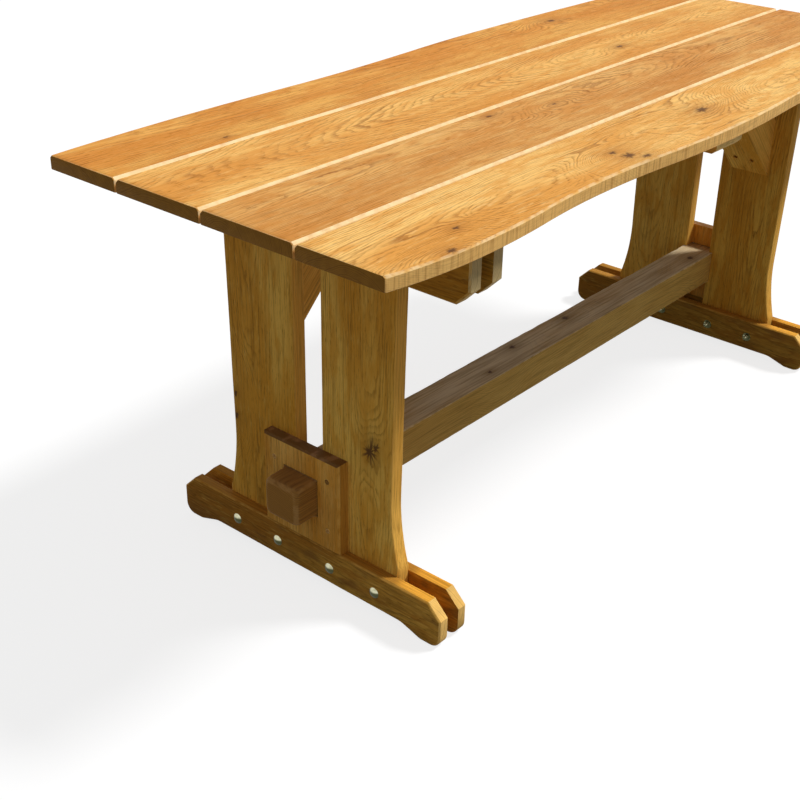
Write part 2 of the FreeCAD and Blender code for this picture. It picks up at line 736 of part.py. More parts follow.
def make_brace_screws(label, at_foot):
    """Screws at one end of the braces: level into the uprights, or up into the planks."""
    body = new_body(label)
    length = S.brace_screw_seat + S.screw_bite
    foot_x = trestle_x + half_upright + S.brace_screw_seat
    head_x = trestle_x + brace_screw_x
    head_level = underside - S.brace_screw_seat
    for hand in (1, -1):
        for y in brace_screw_y:
            if at_foot:
                add_screw(body, "X", (hand * foot_x, hand * y, brace_screw_level), -hand, length, False)
            else:
                add_screw(body, "Z", (hand * head_x, hand * y, head_level), 1, length, False)
    return body


front_reaches = (
    S.front_end_reach,
    S.front_bulge_reach,
    S.front_dip_reach,
    S.front_middle_reach,
    S.front_dip_reach,
    S.front_bulge_reach,
    S.front_end_reach,
)
back_reaches = (
    S.back_end_reach,
    S.back_bulge_reach,
    S.back_dip_reach,
    S.back_middle_reach,
    S.back_end_reach,
)

bodies = [
    make_outer_plank("front_outer_plank", -1, front_reaches, FRONT_TURN_SHARES),
    make_inner_plank("front_inner_plank", -1),
    make_inner_plank("back_inner_plank", 1),
    make_outer_plank("back_outer_plank", 1, back_reaches, BACK_TURN_SHARES),
    make_batten("middle_batten"),
    make_beam("stretcher_beam"),
]
for trestle, turned in (("left", False), ("right", True)):
    for row_name, side in (("front", 1 if turned else -1), ("back", -1 if turned else 1)):
        bodies.append(make_upright(f"{trestle}_{row_name}_upright", side, turned))
        if side == BRACE_SIDE:
            bodies.append(make_brace(f"{trestle}_{row_name}_brace", turned))
    for row_name, outside in (("outer", True), ("inner", False)):
        bodies.append(make_foot_rail(f"{trestle}_{row_name}_foot_rail", outside, turned))
        bodies.append(make_cleat(f"{trestle}_{row_name}_cleat", outside, turned))
    bodies.append(make_collar(f"{trestle}_collar_plate", turned))
for joint, places, clamp_side in (
    ("foot", foot_bolt_places, foot_side),
    ("cleat", cleat_bolt_places, cleat_side),
):
    bodies.append(make_bolts(f"{joint}_bolts", places, clamp_side))
    bodies.append(make_washers(f"{joint}_washers", places, clamp_side))
    bodies.append(make_nuts(f"{joint}_nuts", places, clamp_side))
bodies.append(make_collar_screws("collar_screws"))
bodies.append(make_plank_screws("plank_screws"))
bodies.append(make_batten_screws("batten_screws"))
bodies.append(make_brace_screws("brace_foot_screws", True))
bodies.append(make_brace_screws("brace_head_screws", False))
doc.recompute()

for item in doc.Objects:
    if {"Invalid", "Error"} & set(item.State):
        raise RuntimeError(f"{item.Label} failed: {item.State}")
for body in bodies:
    if body.Shape.isNull() or not body.Shape.isValid():
        raise RuntimeError(f"{body.Label} has no sound shape")

os.makedirs("parts", exist_ok=True)
for body in bodies:
    body.Shape.exportStep(f"parts/{body.Label}.step")
    print(f"{body.Label}: {len(body.Shape.Solids)} solids, {body.Shape.Volume / 1000:.1f} cm3")
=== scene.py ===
"""Looks of a trestle dining table: four oak planks on two bolted trestles joined by a stretcher beam.

Each sub-assembly is a class that holds its sizes, builds its hand-worn boards or its hardware and dresses
them. Lengths are metres in the frame of the part: X runs along the table, Y across it, Z up, and the floor
lies at zero.
"""

import itertools
import logging
import math
from collections.abc import Callable, Iterable, Sequence
from dataclasses import dataclass, field, replace
from enum import Enum

import bpy
from mathutils import Matrix, Vector, noise

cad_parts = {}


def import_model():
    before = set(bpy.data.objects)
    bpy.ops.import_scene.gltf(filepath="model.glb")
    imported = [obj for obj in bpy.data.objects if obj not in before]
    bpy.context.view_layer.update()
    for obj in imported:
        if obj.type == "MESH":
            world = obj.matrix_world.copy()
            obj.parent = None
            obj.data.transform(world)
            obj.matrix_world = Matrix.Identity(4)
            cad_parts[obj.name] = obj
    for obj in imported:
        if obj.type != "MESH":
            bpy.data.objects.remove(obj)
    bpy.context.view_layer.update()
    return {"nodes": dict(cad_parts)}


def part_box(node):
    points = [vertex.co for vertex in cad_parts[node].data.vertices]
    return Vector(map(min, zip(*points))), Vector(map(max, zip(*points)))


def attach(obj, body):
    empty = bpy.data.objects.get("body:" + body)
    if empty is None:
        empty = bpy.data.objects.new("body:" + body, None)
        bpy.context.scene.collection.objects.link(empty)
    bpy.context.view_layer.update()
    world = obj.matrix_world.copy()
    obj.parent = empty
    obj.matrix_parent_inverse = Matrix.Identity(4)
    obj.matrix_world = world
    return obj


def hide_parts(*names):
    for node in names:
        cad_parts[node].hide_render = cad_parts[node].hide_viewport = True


LOG = logging.getLogger("trestle_table")
BODY = "root"

Socket = bpy.types.NodeSocket
Tree = bpy.types.NodeTree
Feed = Socket | float | tuple[float, ...]
Pair = tuple[float, float]
Triple = tuple[float, float, float]
Colour = tuple[float, float, float, float]
Waves = tuple[Pair, ...]

ALONG = (1.0, 0.0, 0.0)
ACROSS = (0.0, 1.0, 0.0)
UPWARD = (0.0, 0.0, 1.0)
FRONTWARD = (0.0, -1.0, 0.0)
DIAGONAL = math.sqrt(0.5)
MIDDLE_GREY = (0.5, 0.5, 0.5)
WHITE = (1.0, 1.0, 1.0, 1.0)
FACET_ANGLE = math.radians(28)
ARC_STEP = math.radians(12)
BROKEN_ANGLE = math.radians(50)

# Sizes that several sub-assemblies share, in metres.
TRESTLE_MIDDLE = 0.672
HALF_UPRIGHT = 0.014
UNDERSIDE = 0.726

# Where wear, the painted light on the plank joints and the painted shade on the rail tops begin and where
# they are full, in metres.
WAVY_EDGE = (0.29, 0.31)
PAINTED_GAP_LIGHT_LEVEL = (0.737, 0.743)
TENON_START = (0.700, 0.712)
RAIL_SHADE_EDGE = (0.205, 0.23)
DAMP_LEVEL = (0.0, 0.05)

# How many times a metre each pattern of wear changes along X, Y and Z.
RAGGED = (55.0, 55.0, 55.0)
CHIPS = (30.0, 42.0, 60.0)
GRIME = (22.0, 14.0, 32.0)
SAW_RIPPLE = (230.0, 0.0, 14.0)
STAINS = (90.0, 90.0, 90.0)
SCRATCHES = (900.0, 2600.0, 900.0)


def paint(red: int, green: int, blue: int) -> Colour:
    """Turn a colour as seen on a screen into the linear colour that shaders take.

    Args:
        red: Red, from 0 to 255.
        green: Green, from 0 to 255.
        blue: Blue, from 0 to 255.

    Returns:
        The linear colour with full alpha.
    """
    linear = []
    for channel in (red, green, blue):
        share = channel / 255
        linear.append(share / 12.92 if share <= 0.04045 else ((share + 0.055) / 1.055) ** 2.4)
    return (*linear, 1.0)


class Graph:
    """Wires shader nodes in one tree: each method adds a node and returns what comes out of it."""

    def __init__(self, tree: Tree) -> None:
        """Keep the tree that the nodes go into."""
        self.tree = tree

    def add(self, kind: str, **settings: object) -> bpy.types.Node:
        """Add one node.

        Args:
            kind: The node's type, without its ShaderNode prefix.
            settings: Properties to set on the node.

        Returns:
            The new node.
        """
        node = self.tree.nodes.new("ShaderNode" + kind)
        for name, value in settings.items():
            setattr(node, name, value)
        return node

    def feed(self, socket: Socket, value: Feed) -> None:
        """Link a socket to another node's output, or set it to a plain value.

        Args:
            socket: The socket to feed.
            value: The output or the value.
        """
        if isinstance(value, Socket):
            self.tree.links.new(value, socket)
        else:
            socket.default_value = value

    def math(self, operation: str, *values: Feed) -> Socket:
        """Work on numbers.

        Args:
            operation: The Math node's operation.
            values: What goes into it, in order.

        Returns:
            The result.
        """
        node = self.add("Math", operation=operation)
        for socket, value in zip(node.inputs, values):
            self.feed(socket, value)
        return node.outputs[0]

    def product(self, *values: Feed) -> Socket:
        """Multiply two or more numbers.

        Args:
            values: The numbers.

        Returns:
            Their product.
        """
        result = values[0]
        for value in values[1:]:
            result = self.math("MULTIPLY", result, value)
        return result

    def vector(self, operation: str, *values: Feed) -> Socket:
        """Work on vectors.

        Args:
            operation: The Vector Math node's operation.
            values: What goes into it, in order.

        Returns:
            The result, a number for a length or a dot product.
        """
        node = self.add("VectorMath", operation=operation)
        for socket, value in zip(node.inputs, values):
            self.feed(socket, value)
        return node.outputs["Value" if operation in ("LENGTH", "DOT_PRODUCT") else "Vector"]

    def dot(self, first: Feed, second: Feed) -> Socket:
        """Give how far one vector reaches along another."""
        return self.vector("DOT_PRODUCT", first, second)

    def noise(self, place: Feed, spread: Triple, detail: float = 2.0) -> bpy.types.Node:
        """Add a cloud of noise.

        Args:
            place: Where the surface is, in metres.
            spread: How many times a metre the noise changes in each direction.
            detail: How many finer layers it has.

        Returns:
            The noise node, with a number and a colour of three numbers.
        """
        node = self.add("TexNoise")
        self.feed(node.inputs["Vector"], self.vector("MULTIPLY", place, spread))
        node.inputs["Scale"].default_value = 1.0
        node.inputs["Detail"].default_value = detail
        return node

    def cloud(self, place: Feed, spread: Triple, detail: float = 2.0) -> Socket:
        """Give the noise's single number."""
        return self.noise(place, spread, detail).outputs[0]

    def sway(self, place: Feed, spread: Triple, reach: Triple, detail: float = 2.0) -> Socket:
        """Give a vector that wanders about zero.

        Args:
            place: Where the surface is, in metres.
            spread: How many times a metre the noise changes in each direction.
            reach: How far it wanders, in metres.
            detail: How many finer layers it has.

        Returns:
            The wandering vector.
        """
        centred = self.vector("SUBTRACT", self.noise(place, spread, detail).outputs[1], MIDDLE_GREY)
        return self.vector("MULTIPLY", centred, reach)

    def ease(self, value: Feed, low: float, high: float, start: float = 0.0, end: float = 1.0) -> Socket:
        """Pass smoothly from start to end.

        Args:
            value: The number that drives the passage.
            low: Where it begins.
            high: Where it is over.
            start: The result before.
            end: The result after.

        Returns:
            The eased number.
        """
        node = self.add("MapRange", interpolation_type="SMOOTHSTEP")
        for socket, item in zip(node.inputs, (value, low, high, start, end)):
            self.feed(socket, item)
        return node.outputs[0]

    def mix(self, share: Feed, first: Feed, second: Feed, mode: str = "MIX") -> Socket:
        """Blend two colours.

        Args:
            share: How much of the second one there is.
            first: The colour underneath.
            second: The colour on top.
            mode: The way they blend.

        Returns:
            The blended colour.
        """
        node = self.add("Mix", data_type="RGBA", blend_type=mode)
        for name, item in (("Factor_Float", share), ("A_Color", first), ("B_Color", second)):
            self.feed(next(socket for socket in node.inputs if socket.identifier == name), item)
        return next(socket for socket in node.outputs if socket.identifier == "Result_Color")

    def group(self, tree: Tree, **feeds: Feed) -> bpy.types.Node:
        """Use a node group.

        Args:
            tree: The group.
            feeds: What goes into each of its inputs, by name.

        Returns:
            The group's node.
        """
        node = self.add("Group", node_tree=tree)
        for name, value in feeds.items():
            self.feed(node.inputs[name], value)
        return node

    def bump(self, height: Socket, strength: float, distance: float) -> Socket:
        """Bend the surface's direction by a height.

        Args:
            height: The height, from about 0 to 1.
            strength: How much of the bend is taken.
            distance: How deep a height of 1 is, in metres.

        Returns:
            The bent direction.
        """
        node = self.add("Bump")
        node.inputs["Strength"].default_value = strength
        node.inputs["Distance"].default_value = distance
        self.feed(node.inputs["Height"], height)
        return node.outputs[0]

    def show(self, shader: bpy.types.Node, output: str = "OutputMaterial") -> None:
        """Send a shader to the output of the tree."""
        self.feed(self.add(output).inputs["Surface"], shader.outputs[0])


def fresh_graph(owner: bpy.types.Material | bpy.types.World) -> Graph:
    """Empty the node tree of a material or a world.

    Args:
        owner: The material or the world.

    Returns:
        The graph that wires its tree.
    """
    owner.use_nodes = True
    owner.node_tree.nodes.clear()
    return Graph(owner.node_tree)


def add_object(name: str, data: bpy.types.ID) -> bpy.types.Object:
    """Put a new object into the scene.

    Args:
        name: The object's name.
        data: Its mesh, lamp or camera.

    Returns:
        The object.
    """
    made = bpy.data.objects.new(name, data)
    bpy.context.scene.collection.objects.link(made)
    return made


class GroupTree:
    """A node group that is made once and used by many finishes."""

    def __init__(self, name: str, inputs: dict[str, str], outputs: tuple[str, ...]) -> None:
        """Make the empty group with its sockets.

        Args:
            name: The group's name.
            inputs: The kind of each input, Float or Vector, by name.
            outputs: The names of its outputs, all numbers.
        """
        self.tree = bpy.data.node_groups.new(name, "ShaderNodeTree")
        for label, kind in inputs.items():
            self.tree.interface.new_socket(label, in_out="INPUT", socket_type="NodeSocket" + kind)
        for label in outputs:
            self.tree.interface.new_socket(label, in_out="OUTPUT", socket_type="NodeSocketFloat")
        self.graph = Graph(self.tree)
        self.given = self.tree.nodes.new("NodeGroupInput").outputs
        self.taken = self.tree.nodes.new("NodeGroupOutput").inputs

    def give(self, **results: Socket) -> Tree:
        """Wire the results to the outputs.

        Args:
            results: What goes to each output, by name.

        Returns:
            The finished group.
        """
        for name, socket in results.items():
            self.graph.feed(self.taken[name], socket)
        return self.tree


def knot_group() -> Tree:
    """Make the group for one knot: a dark core, a stained ring and fibres that swell round it.

    Returns:
        A group that takes Place, Centre, Radius, Reach, Lift and Burst and gives Lift, Core and Stain.
    """
    inputs = {"Place": "Vector", "Centre": "Vector"}
    inputs.update({label: "Float" for label in ("Radius", "Reach", "Lift", "Burst")})
    made = GroupTree("oak_knot", inputs, ("Lift", "Core", "Stain"))
    graph = made.graph
    offset = graph.vector("SUBTRACT", made.given["Place"], made.given["Centre"])
    flat = graph.vector("MULTIPLY", offset, (0.6, 1.0, 0.0))
    ragged = graph.vector("ADD", flat, graph.sway(offset, (130.0, 130.0, 60.0), (0.009, 0.007, 0.0)))
    away = graph.math("DIVIDE", graph.vector("LENGTH", ragged), made.given["Radius"])
    own = graph.vector("MULTIPLY", made.given["Centre"], (31.0, 31.0, 31.0))
    spoke = graph.vector("ADD", graph.vector("NORMALIZE", flat), own)
    ray = graph.ease(graph.cloud(spoke, (2.6, 2.6, 2.6), 2.0), 0.32, 0.72, -0.6, 1.2)
    star = graph.math("DIVIDE", away, graph.math("MULTIPLY_ADD", ray, made.given["Burst"], 1.0))
    stain = graph.math("EXPONENT", graph.product(away, away, -0.12))
    slim = graph.vector("MULTIPLY", offset, (0.42, 1.0, 0.0))
    apart = graph.math("DIVIDE", graph.vector("LENGTH", slim), made.given["Reach"])
    swell = graph.math("EXPONENT", graph.product(apart, apart, -1.0))
    return made.give(
        Lift=graph.math("MULTIPLY", swell, made.given["Lift"]),
        Core=graph.ease(star, 0.35, 1.15, 1.0, 0.0),
        Stain=stain,
    )


def figure_group() -> Tree:
    """Make the group for the growth rings of oak, cut by the board's faces.

    Returns:
        A group that takes Place, Pith, Slope, Ring, Lift and Seed and gives Early, Tone, Bold, Pores, Fibre,
        Fleck, Mottle and Patch, each from 0 to 1.
    """
    inputs = {label: "Vector" for label in ("Place", "Pith", "Seed")}
    inputs.update({label: "Float" for label in ("Slope", "Ring", "Lift")})
    outputs = ("Early", "Tone", "Bold", "Pores", "Fibre", "Fleck", "Mottle", "Patch")
    made = GroupTree("oak_figure", inputs, outputs)
    graph = made.graph
    place = made.given["Place"]
    spot = graph.vector("ADD", place, made.given["Seed"])
    along = graph.dot(place, ALONG)
    lean = graph.add("CombineXYZ")
    graph.feed(lean.inputs[2], graph.math("MULTIPLY", along, made.given["Slope"]))
    local = graph.vector("SUBTRACT", place, made.given["Pith"])
    local = graph.vector("SUBTRACT", local, lean.outputs[0])
    for spread, reach in (
        ((1.3, 6.0, 6.0), (0.0, 0.050, 0.044)),
        ((8.0, 30.0, 30.0), (0.0, 0.0090, 0.0090)),
        ((42.0, 120.0, 120.0), (0.0, 0.0026, 0.0026)),
    ):
        local = graph.vector("ADD", local, graph.sway(spot, spread, reach))
    across = graph.vector("MULTIPLY", local, (0.0, 1.0, 1.0))
    radius = graph.math("ADD", graph.vector("LENGTH", across), made.given["Lift"])
    rings = graph.math("DIVIDE", radius, made.given["Ring"])
    drift = graph.add("CombineXYZ")
    graph.feed(drift.inputs[0], rings)
    uneven = graph.cloud(drift.outputs[0], (0.33, 1.0, 1.0), 1.0)
    rings = graph.math("ADD", rings, graph.math("MULTIPLY", uneven, 1.7))
    share = graph.math("FRACT", rings)
    tone = graph.add("TexWhiteNoise", noise_dimensions="1D")
    graph.feed(tone.inputs["W"], graph.math("FLOOR", rings))
    early = graph.math("MULTIPLY", graph.ease(share, 0.0, 0.1), graph.ease(share, 0.1, 0.62, 1.0, 0.0))
    speck = graph.ease(graph.cloud(spot, (70.0, 800.0, 800.0), 1.0), 0.54, 0.68)
    return made.give(
        Early=early,
        Tone=tone.outputs["Value"],
        Bold=graph.ease(graph.cloud(spot, (4.0, 14.0, 14.0), 2.0), 0.34, 0.66),
        Pores=graph.math("MULTIPLY", speck, graph.math("MULTIPLY_ADD", early, 0.75, 0.25)),
        Fibre=graph.cloud(spot, (9.0, 260.0, 260.0), 4.0),
        Fleck=graph.ease(graph.cloud(spot, (34.0, 210.0, 210.0), 3.0), 0.52, 0.78),
        Mottle=graph.ease(graph.cloud(spot, (15.0, 60.0, 60.0), 4.0), 0.3, 0.7),
        Patch=graph.ease(graph.cloud(spot, (2.6, 11.0, 11.0), 3.0), 0.36, 0.64),
    )


class Lie(Enum):
    """How a board lies: the directions of its length, its width and its thickness."""

    FLAT = (ALONG, ACROSS, UPWARD)
    CROSSWISE = (ACROSS, ALONG, UPWARD)
    ON_EDGE = (ACROSS, UPWARD, ALONG)
    STANDING = (UPWARD, ACROSS, ALONG)
    RISING_RIGHT = ((DIAGONAL, 0.0, DIAGONAL), ACROSS, (-DIAGONAL, 0.0, DIAGONAL))
    RISING_LEFT = ((-DIAGONAL, 0.0, DIAGONAL), ACROSS, (DIAGONAL, 0.0, DIAGONAL))


class Wear(Enum):
    """What years of use have done to a board, how its edges were worked, and the light and shade painted on
    some kinds.
    """

    FRAME = "frame"
    PLANK = "plank"
    BEAM = "beam"
    COLLAR = "collar"
    FOOT = "foot"


@dataclass(frozen=True)
class Knot:
    """A knot in a board, placed from the board's middle in metres."""

    along: float
    across: float
    radius: float = 0.007
    reach: float = 0.035
    lift: float = 0.030
    burst: float = 0.25


@dataclass(frozen=True)
class OakFinish:
    """The colours of oiled oak and how strongly its figure shows."""

    name: str
    pale: Colour
    deep: Colour
    line: Colour
    side: Colour
    end: Colour
    bare: Colour
    worn: Colour
    fleck: Colour
    side_share: float = 0.6
    saw_marks: float = 0.0
    end_ring_share: float = 0.45
    figure: float = 0.8
    streaks: float = 0.4
    mottle: float = 0.7
    roughness: float = 0.55
    sheen: float = 0.06
    relief: float = 0.0003

    def end_ring(self) -> Colour:
        """Give the colour of the dark rings in the end grain."""
        return (*(part * self.end_ring_share for part in self.end[:3]), 1.0)

    def tinted(self, tint: Triple) -> "OakFinish":
        """Give the same oak from another tree; some boards use it to paint shade and light onto their oak.

        Args:
            tint: What the red, green and blue of its wood are multiplied by.

        Returns:
            The tinted finish.
        """
        shades = {}
        for name in ("pale", "deep", "line", "fleck"):
            shades[name] = (*(part * share for part, share in zip(getattr(self, name), tint)), 1.0)
        return replace(self, **shades)


TOP_OAK = OakFinish(
    "oak_top", pale=paint(254, 204, 120), deep=paint(230, 162, 76), line=paint(158, 94, 32),
    side=paint(255, 206, 124), end=paint(160, 112, 42), bare=paint(252, 224, 174), worn=paint(190, 138, 76),
    fleck=paint(255, 222, 152), side_share=0.8, figure=0.85, saw_marks=0.45,
)
FRAME_OAK = OakFinish(
    "oak_frame", pale=paint(254, 205, 96), deep=paint(226, 162, 55), line=paint(146, 96, 26),
    side=paint(248, 188, 88), end=paint(255, 214, 132), bare=paint(250, 196, 100), worn=paint(126, 97, 59),
    fleck=paint(255, 214, 112), figure=0.6, streaks=0.6, mottle=0.7, roughness=0.6,
)
# Cleat oak darkened to paint the shade under the top, with a pale end that stands in for the light on the
# cleat ends.
SHADED_CLEAT_OAK = replace(FRAME_OAK.tinted((0.64, 0.60, 0.48)), side=paint(184, 142, 61), end=paint(206, 180, 126))
# Collar oak, a little browner, with its sides darkened to paint the shade they sit in.
COLLAR_OAK = replace(
    FRAME_OAK.tinted((0.98, 0.92, 1.12)), side=paint(184, 138, 58), end=paint(158, 118, 78), figure=0.45,
)
# Foot rail oak; its worn colour serves both the real damp and grime and the painted shade on the rail tops.
FOOT_OAK = replace(
    FRAME_OAK, side_share=0.9, pale=paint(214, 162, 67), deep=paint(180, 121, 40), line=paint(120, 79, 23),
    side=paint(255, 184, 68), end=paint(255, 206, 118), worn=paint(128, 87, 39),
)
BEAM_OAK = OakFinish(
    "oak_beam", pale=paint(214, 177, 96), deep=paint(183, 141, 64), line=paint(120, 88, 38),
    side=paint(216, 174, 92), end=paint(164, 116, 55), bare=paint(248, 224, 174), worn=paint(226, 214, 186),
    fleck=paint(218, 183, 106), figure=0.65, streaks=0.5, roughness=0.62,
)
NO_TINT = (1.0, 1.0, 1.0)
SEED_STEP = (3.7, 5.3, 7.9)
KNOT_CORE = paint(78, 48, 30)
WEATHERED = paint(182, 166, 136)
TENON_BROWN = paint(170, 121, 56)
TENON_DARK = paint(126, 86, 41)
TENON_PALE = paint(190, 142, 80)


@dataclass
class Board:
    """One oak board: how it lies, how it was cut from the log, and its knots."""

    node: str
    finish: OakFinish
    lie: Lie
    wear: Wear = Wear.FRAME
    pith_across: float = 0.01
    pith_depth: float = -0.05
    slope: float = 0.02
    ring: float = 0.0034
    seed: int = 0
    knots: list[Knot] = field(default_factory=list)

    def middle(self) -> Vector:
        """Give the middle of the board's box."""
        low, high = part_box(self.node)
        return (low + high) / 2


class Timber:
    """Makes the oak material of each board from the same two node groups."""

    def __init__(self) -> None:
        """Make the groups that every board shares."""
        self.knot = knot_group()
        self.figure = figure_group()

    def material(self, board: Board) -> bpy.types.Material:
        """Make the oak of one board.

        Args:
            board: The board to make it for.

        Returns:
            The finished material.
        """
        material = bpy.data.materials.new(f"{board.finish.name}_{board.node}")
        BoardShader(fresh_graph(material), board, self.knot, self.figure).wire()
        return material


class BoardShader:
    """Wires the oak of one board: its growth rings and knots, its sawn sides, its wear and the light and
    shade painted on some boards.
    """

    def __init__(self, graph: Graph, board: Board, knot: Tree, figure: Tree) -> None:
        """Add what every layer of colour reads: the place, the ways it faces, the knots and the rings.

        Args:
            graph: The material's graph.
            board: The board.
            knot: The group for one knot.
            figure: The group for the growth rings.
        """
        self.graph = graph
        self.board = board
        self.finish = board.finish
        self.world = graph.add("TexCoord").outputs["Object"]
        normal = graph.add("NewGeometry").outputs["Normal"]
        self.up = graph.dot(normal, UPWARD)
        self.facing = [graph.math("ABSOLUTE", graph.dot(normal, way)) for way in board.lie.value]
        squarest = graph.math("MAXIMUM", graph.math("MAXIMUM", *self.facing[:2]), self.facing[2])
        self.arris = graph.ease(squarest, 0.96, 0.86)
        self.ragged = graph.ease(graph.cloud(self.world, RAGGED, 4.0), 0.3, 0.62)
        place = self.board_place()
        lift, self.core, self.stain = self.knots(knot, place)
        self.cut = graph.group(
            figure, Place=place, Pith=(0.0, board.pith_across, board.pith_depth), Slope=board.slope,
            Ring=board.ring, Lift=lift, Seed=tuple(board.seed * step for step in SEED_STEP),
        ).outputs

    def board_place(self) -> Socket:
        """Turn a place in the table into one in the board.

        Returns:
            The place along, across and through the board, from its middle.
        """
        offset = self.graph.vector("SUBTRACT", self.world, tuple(self.board.middle()))
        joined = self.graph.add("CombineXYZ")
        for socket, way in zip(joined.inputs, self.board.lie.value):
            self.graph.feed(socket, self.graph.dot(offset, way))
        return joined.outputs[0]

    def knots(self, knot_tree: Tree, place: Socket) -> tuple[Feed, Feed, Feed]:
        """Add the board's knots.

        Args:
            knot_tree: The group for one knot.
            place: The place in the board.

        Returns:
            How far the rings swell, how dark the cores are and how stained the wood is.
        """
        graph = self.graph
        lift, core, stain = 0.0, 0.0, 0.0
        for knot in self.board.knots:
            made = graph.group(
                knot_tree, Place=place, Centre=(knot.along, knot.across, 0.0),
                Radius=knot.radius, Reach=knot.reach, Lift=knot.lift, Burst=knot.burst,
            ).outputs
            lift = graph.math("ADD", lift, made["Lift"])
            core = graph.math("MAXIMUM", core, made["Core"])
            stain = graph.math("MAXIMUM", stain, made["Stain"])
        return lift, core, stain

    def wire(self) -> None:
        """Lay the colours over each other, and send the shader to the output."""
        graph, finish, cut = self.graph, self.finish, self.cut
        colour = self.worn(self.sawn(self.oiled()))
        flat = graph.ease(self.facing[2], 0.4, 0.8)
        colour = graph.mix(graph.product(self.stain, flat, 0.45), colour, finish.line)
        colour = graph.mix(graph.product(self.core, flat, 0.85), colour, KNOT_CORE)
        shader = graph.add("BsdfPrincipled")
        graph.feed(shader.inputs["Base Color"], colour)
        dull = graph.math("MULTIPLY_ADD", cut["Pores"], 0.25, finish.roughness - 0.06)
        graph.feed(shader.inputs["Roughness"], graph.math("MULTIPLY_ADD", cut["Fibre"], 0.12, dull))
        shader.inputs["Specular IOR Level"].default_value = finish.sheen
        graph.feed(shader.inputs["Normal"], self.relief())
        graph.show(shader)

    def oiled(self) -> Socket:
        """Colour the wood by its growth rings, fibres and pores.

        Returns:
            The colour of the oiled wood.
        """
        graph, finish, cut = self.graph, self.finish, self.cut
        colour = graph.mix(cut["Patch"], finish.pale, finish.deep)
        bold = graph.math("MULTIPLY_ADD", cut["Bold"], 0.7 * finish.figure, 0.3 * finish.figure)
        strength = graph.math("MULTIPLY", bold, graph.math("MULTIPLY_ADD", cut["Tone"], 0.6, 0.4))
        colour = graph.mix(graph.math("MULTIPLY", cut["Early"], strength), colour, finish.line)
        colour = graph.mix(graph.ease(cut["Fibre"], 0.45, 0.75, 0.0, finish.streaks), colour, finish.line)
        colour = graph.mix(graph.ease(cut["Mottle"], 0.35, 1.0, 0.0, finish.mottle), colour, finish.deep)
        colour = graph.mix(graph.product(cut["Fleck"], finish.mottle, 0.55), colour, finish.fleck)
        return graph.mix(graph.math("MULTIPLY", cut["Pores"], 0.6), colour, finish.line)

    def sawn(self, colour: Socket) -> Socket:
        """Colour the sawn sides and the end grain.

        Args:
            colour: The oiled wood's colour.

        Returns:
            The colour of the wood with its sides and ends.
        """
        graph, finish, cut = self.graph, self.finish, self.cut
        lengthwise = 0.5 - 0.7 * finish.saw_marks
        streaked = graph.mix(graph.ease(cut["Fibre"], 0.4, 0.75, 0.0, lengthwise), finish.side, finish.line)
        streaked = graph.mix(graph.product(cut["Early"], 0.5 * lengthwise), streaked, finish.line)
        colour = graph.mix(graph.ease(self.facing[1], 0.6, 0.85, 0.0, finish.side_share), colour, streaked)
        ring_share = graph.product(cut["Early"], graph.math("MULTIPLY_ADD", cut["Tone"], 0.5, 0.25))
        rings = graph.mix(ring_share, finish.end, finish.end_ring())
        rings = graph.mix(graph.product(cut["Mottle"], 0.35), rings, finish.end_ring())
        return graph.mix(graph.ease(self.facing[0], 0.45, 0.7), colour, rings)

    def worn(self, colour: Socket) -> Socket:
        """Age the wood as its kind of board ages; plank joints also get painted light and foot rails painted
        shade.

        Args:
            colour: The sawn wood's colour.

        Returns:
            The aged colour, with any painted light and shade.
        """
        wear = self.board.wear
        if wear is Wear.PLANK:
            return self.plank_edges(colour)
        if wear is Wear.BEAM:
            return self.weathered(colour)
        bare = self.graph.product(self.arris, self.ragged, 0.4)
        colour = self.graph.mix(bare, colour, self.finish.bare)
        if wear is Wear.COLLAR:
            return self.chipped(colour)
        return self.stained_and_shaded(colour) if wear is Wear.FOOT else colour

    def chipped(self, colour: Socket) -> Socket:
        """Darken and chip the upper edge of a collar plate.

        Args:
            colour: The wood's colour.

        Returns:
            The colour with that edge.
        """
        graph, finish = self.graph, self.finish
        chips = graph.ease(graph.cloud(self.world, CHIPS, 4.0), 0.5, 0.64)
        dark = graph.mix(graph.product(self.ragged, 0.5), TENON_DARK, finish.worn)
        dark = graph.mix(chips, dark, finish.end)
        return graph.mix(graph.ease(self.up, 0.25, 0.6), colour, dark)

    def stained_and_shaded(self, colour: Socket) -> Socket:
        """Stain a foot rail with damp near the floor and grime on its faces, and paint shade on its top
        behind the front toe.

        Args:
            colour: The wood's colour.

        Returns:
            The stained colour.
        """
        graph, world = self.graph, self.world
        damp = graph.product(graph.ease(graph.dot(world, UPWARD), *DAMP_LEVEL, 0.6, 0.0), self.cut["Patch"])
        grime = graph.ease(graph.cloud(world, GRIME, 4.0), 0.5, 0.7, 0.0, 0.55)
        faces = graph.product(grime, graph.ease(self.facing[2], 0.8, 0.95))
        # Painted shade on the rail's top everywhere behind the front toe, in the worn colour.
        behind = graph.ease(graph.dot(world, FRONTWARD), *RAIL_SHADE_EDGE, 0.6, 0.0)
        painted_top_shade = graph.product(graph.ease(self.facing[1], 0.6, 0.85), behind)
        grime_and_shade = graph.math("MAXIMUM", painted_top_shade, faces)
        return graph.mix(graph.math("MAXIMUM", damp, grime_and_shade), colour, self.finish.worn)

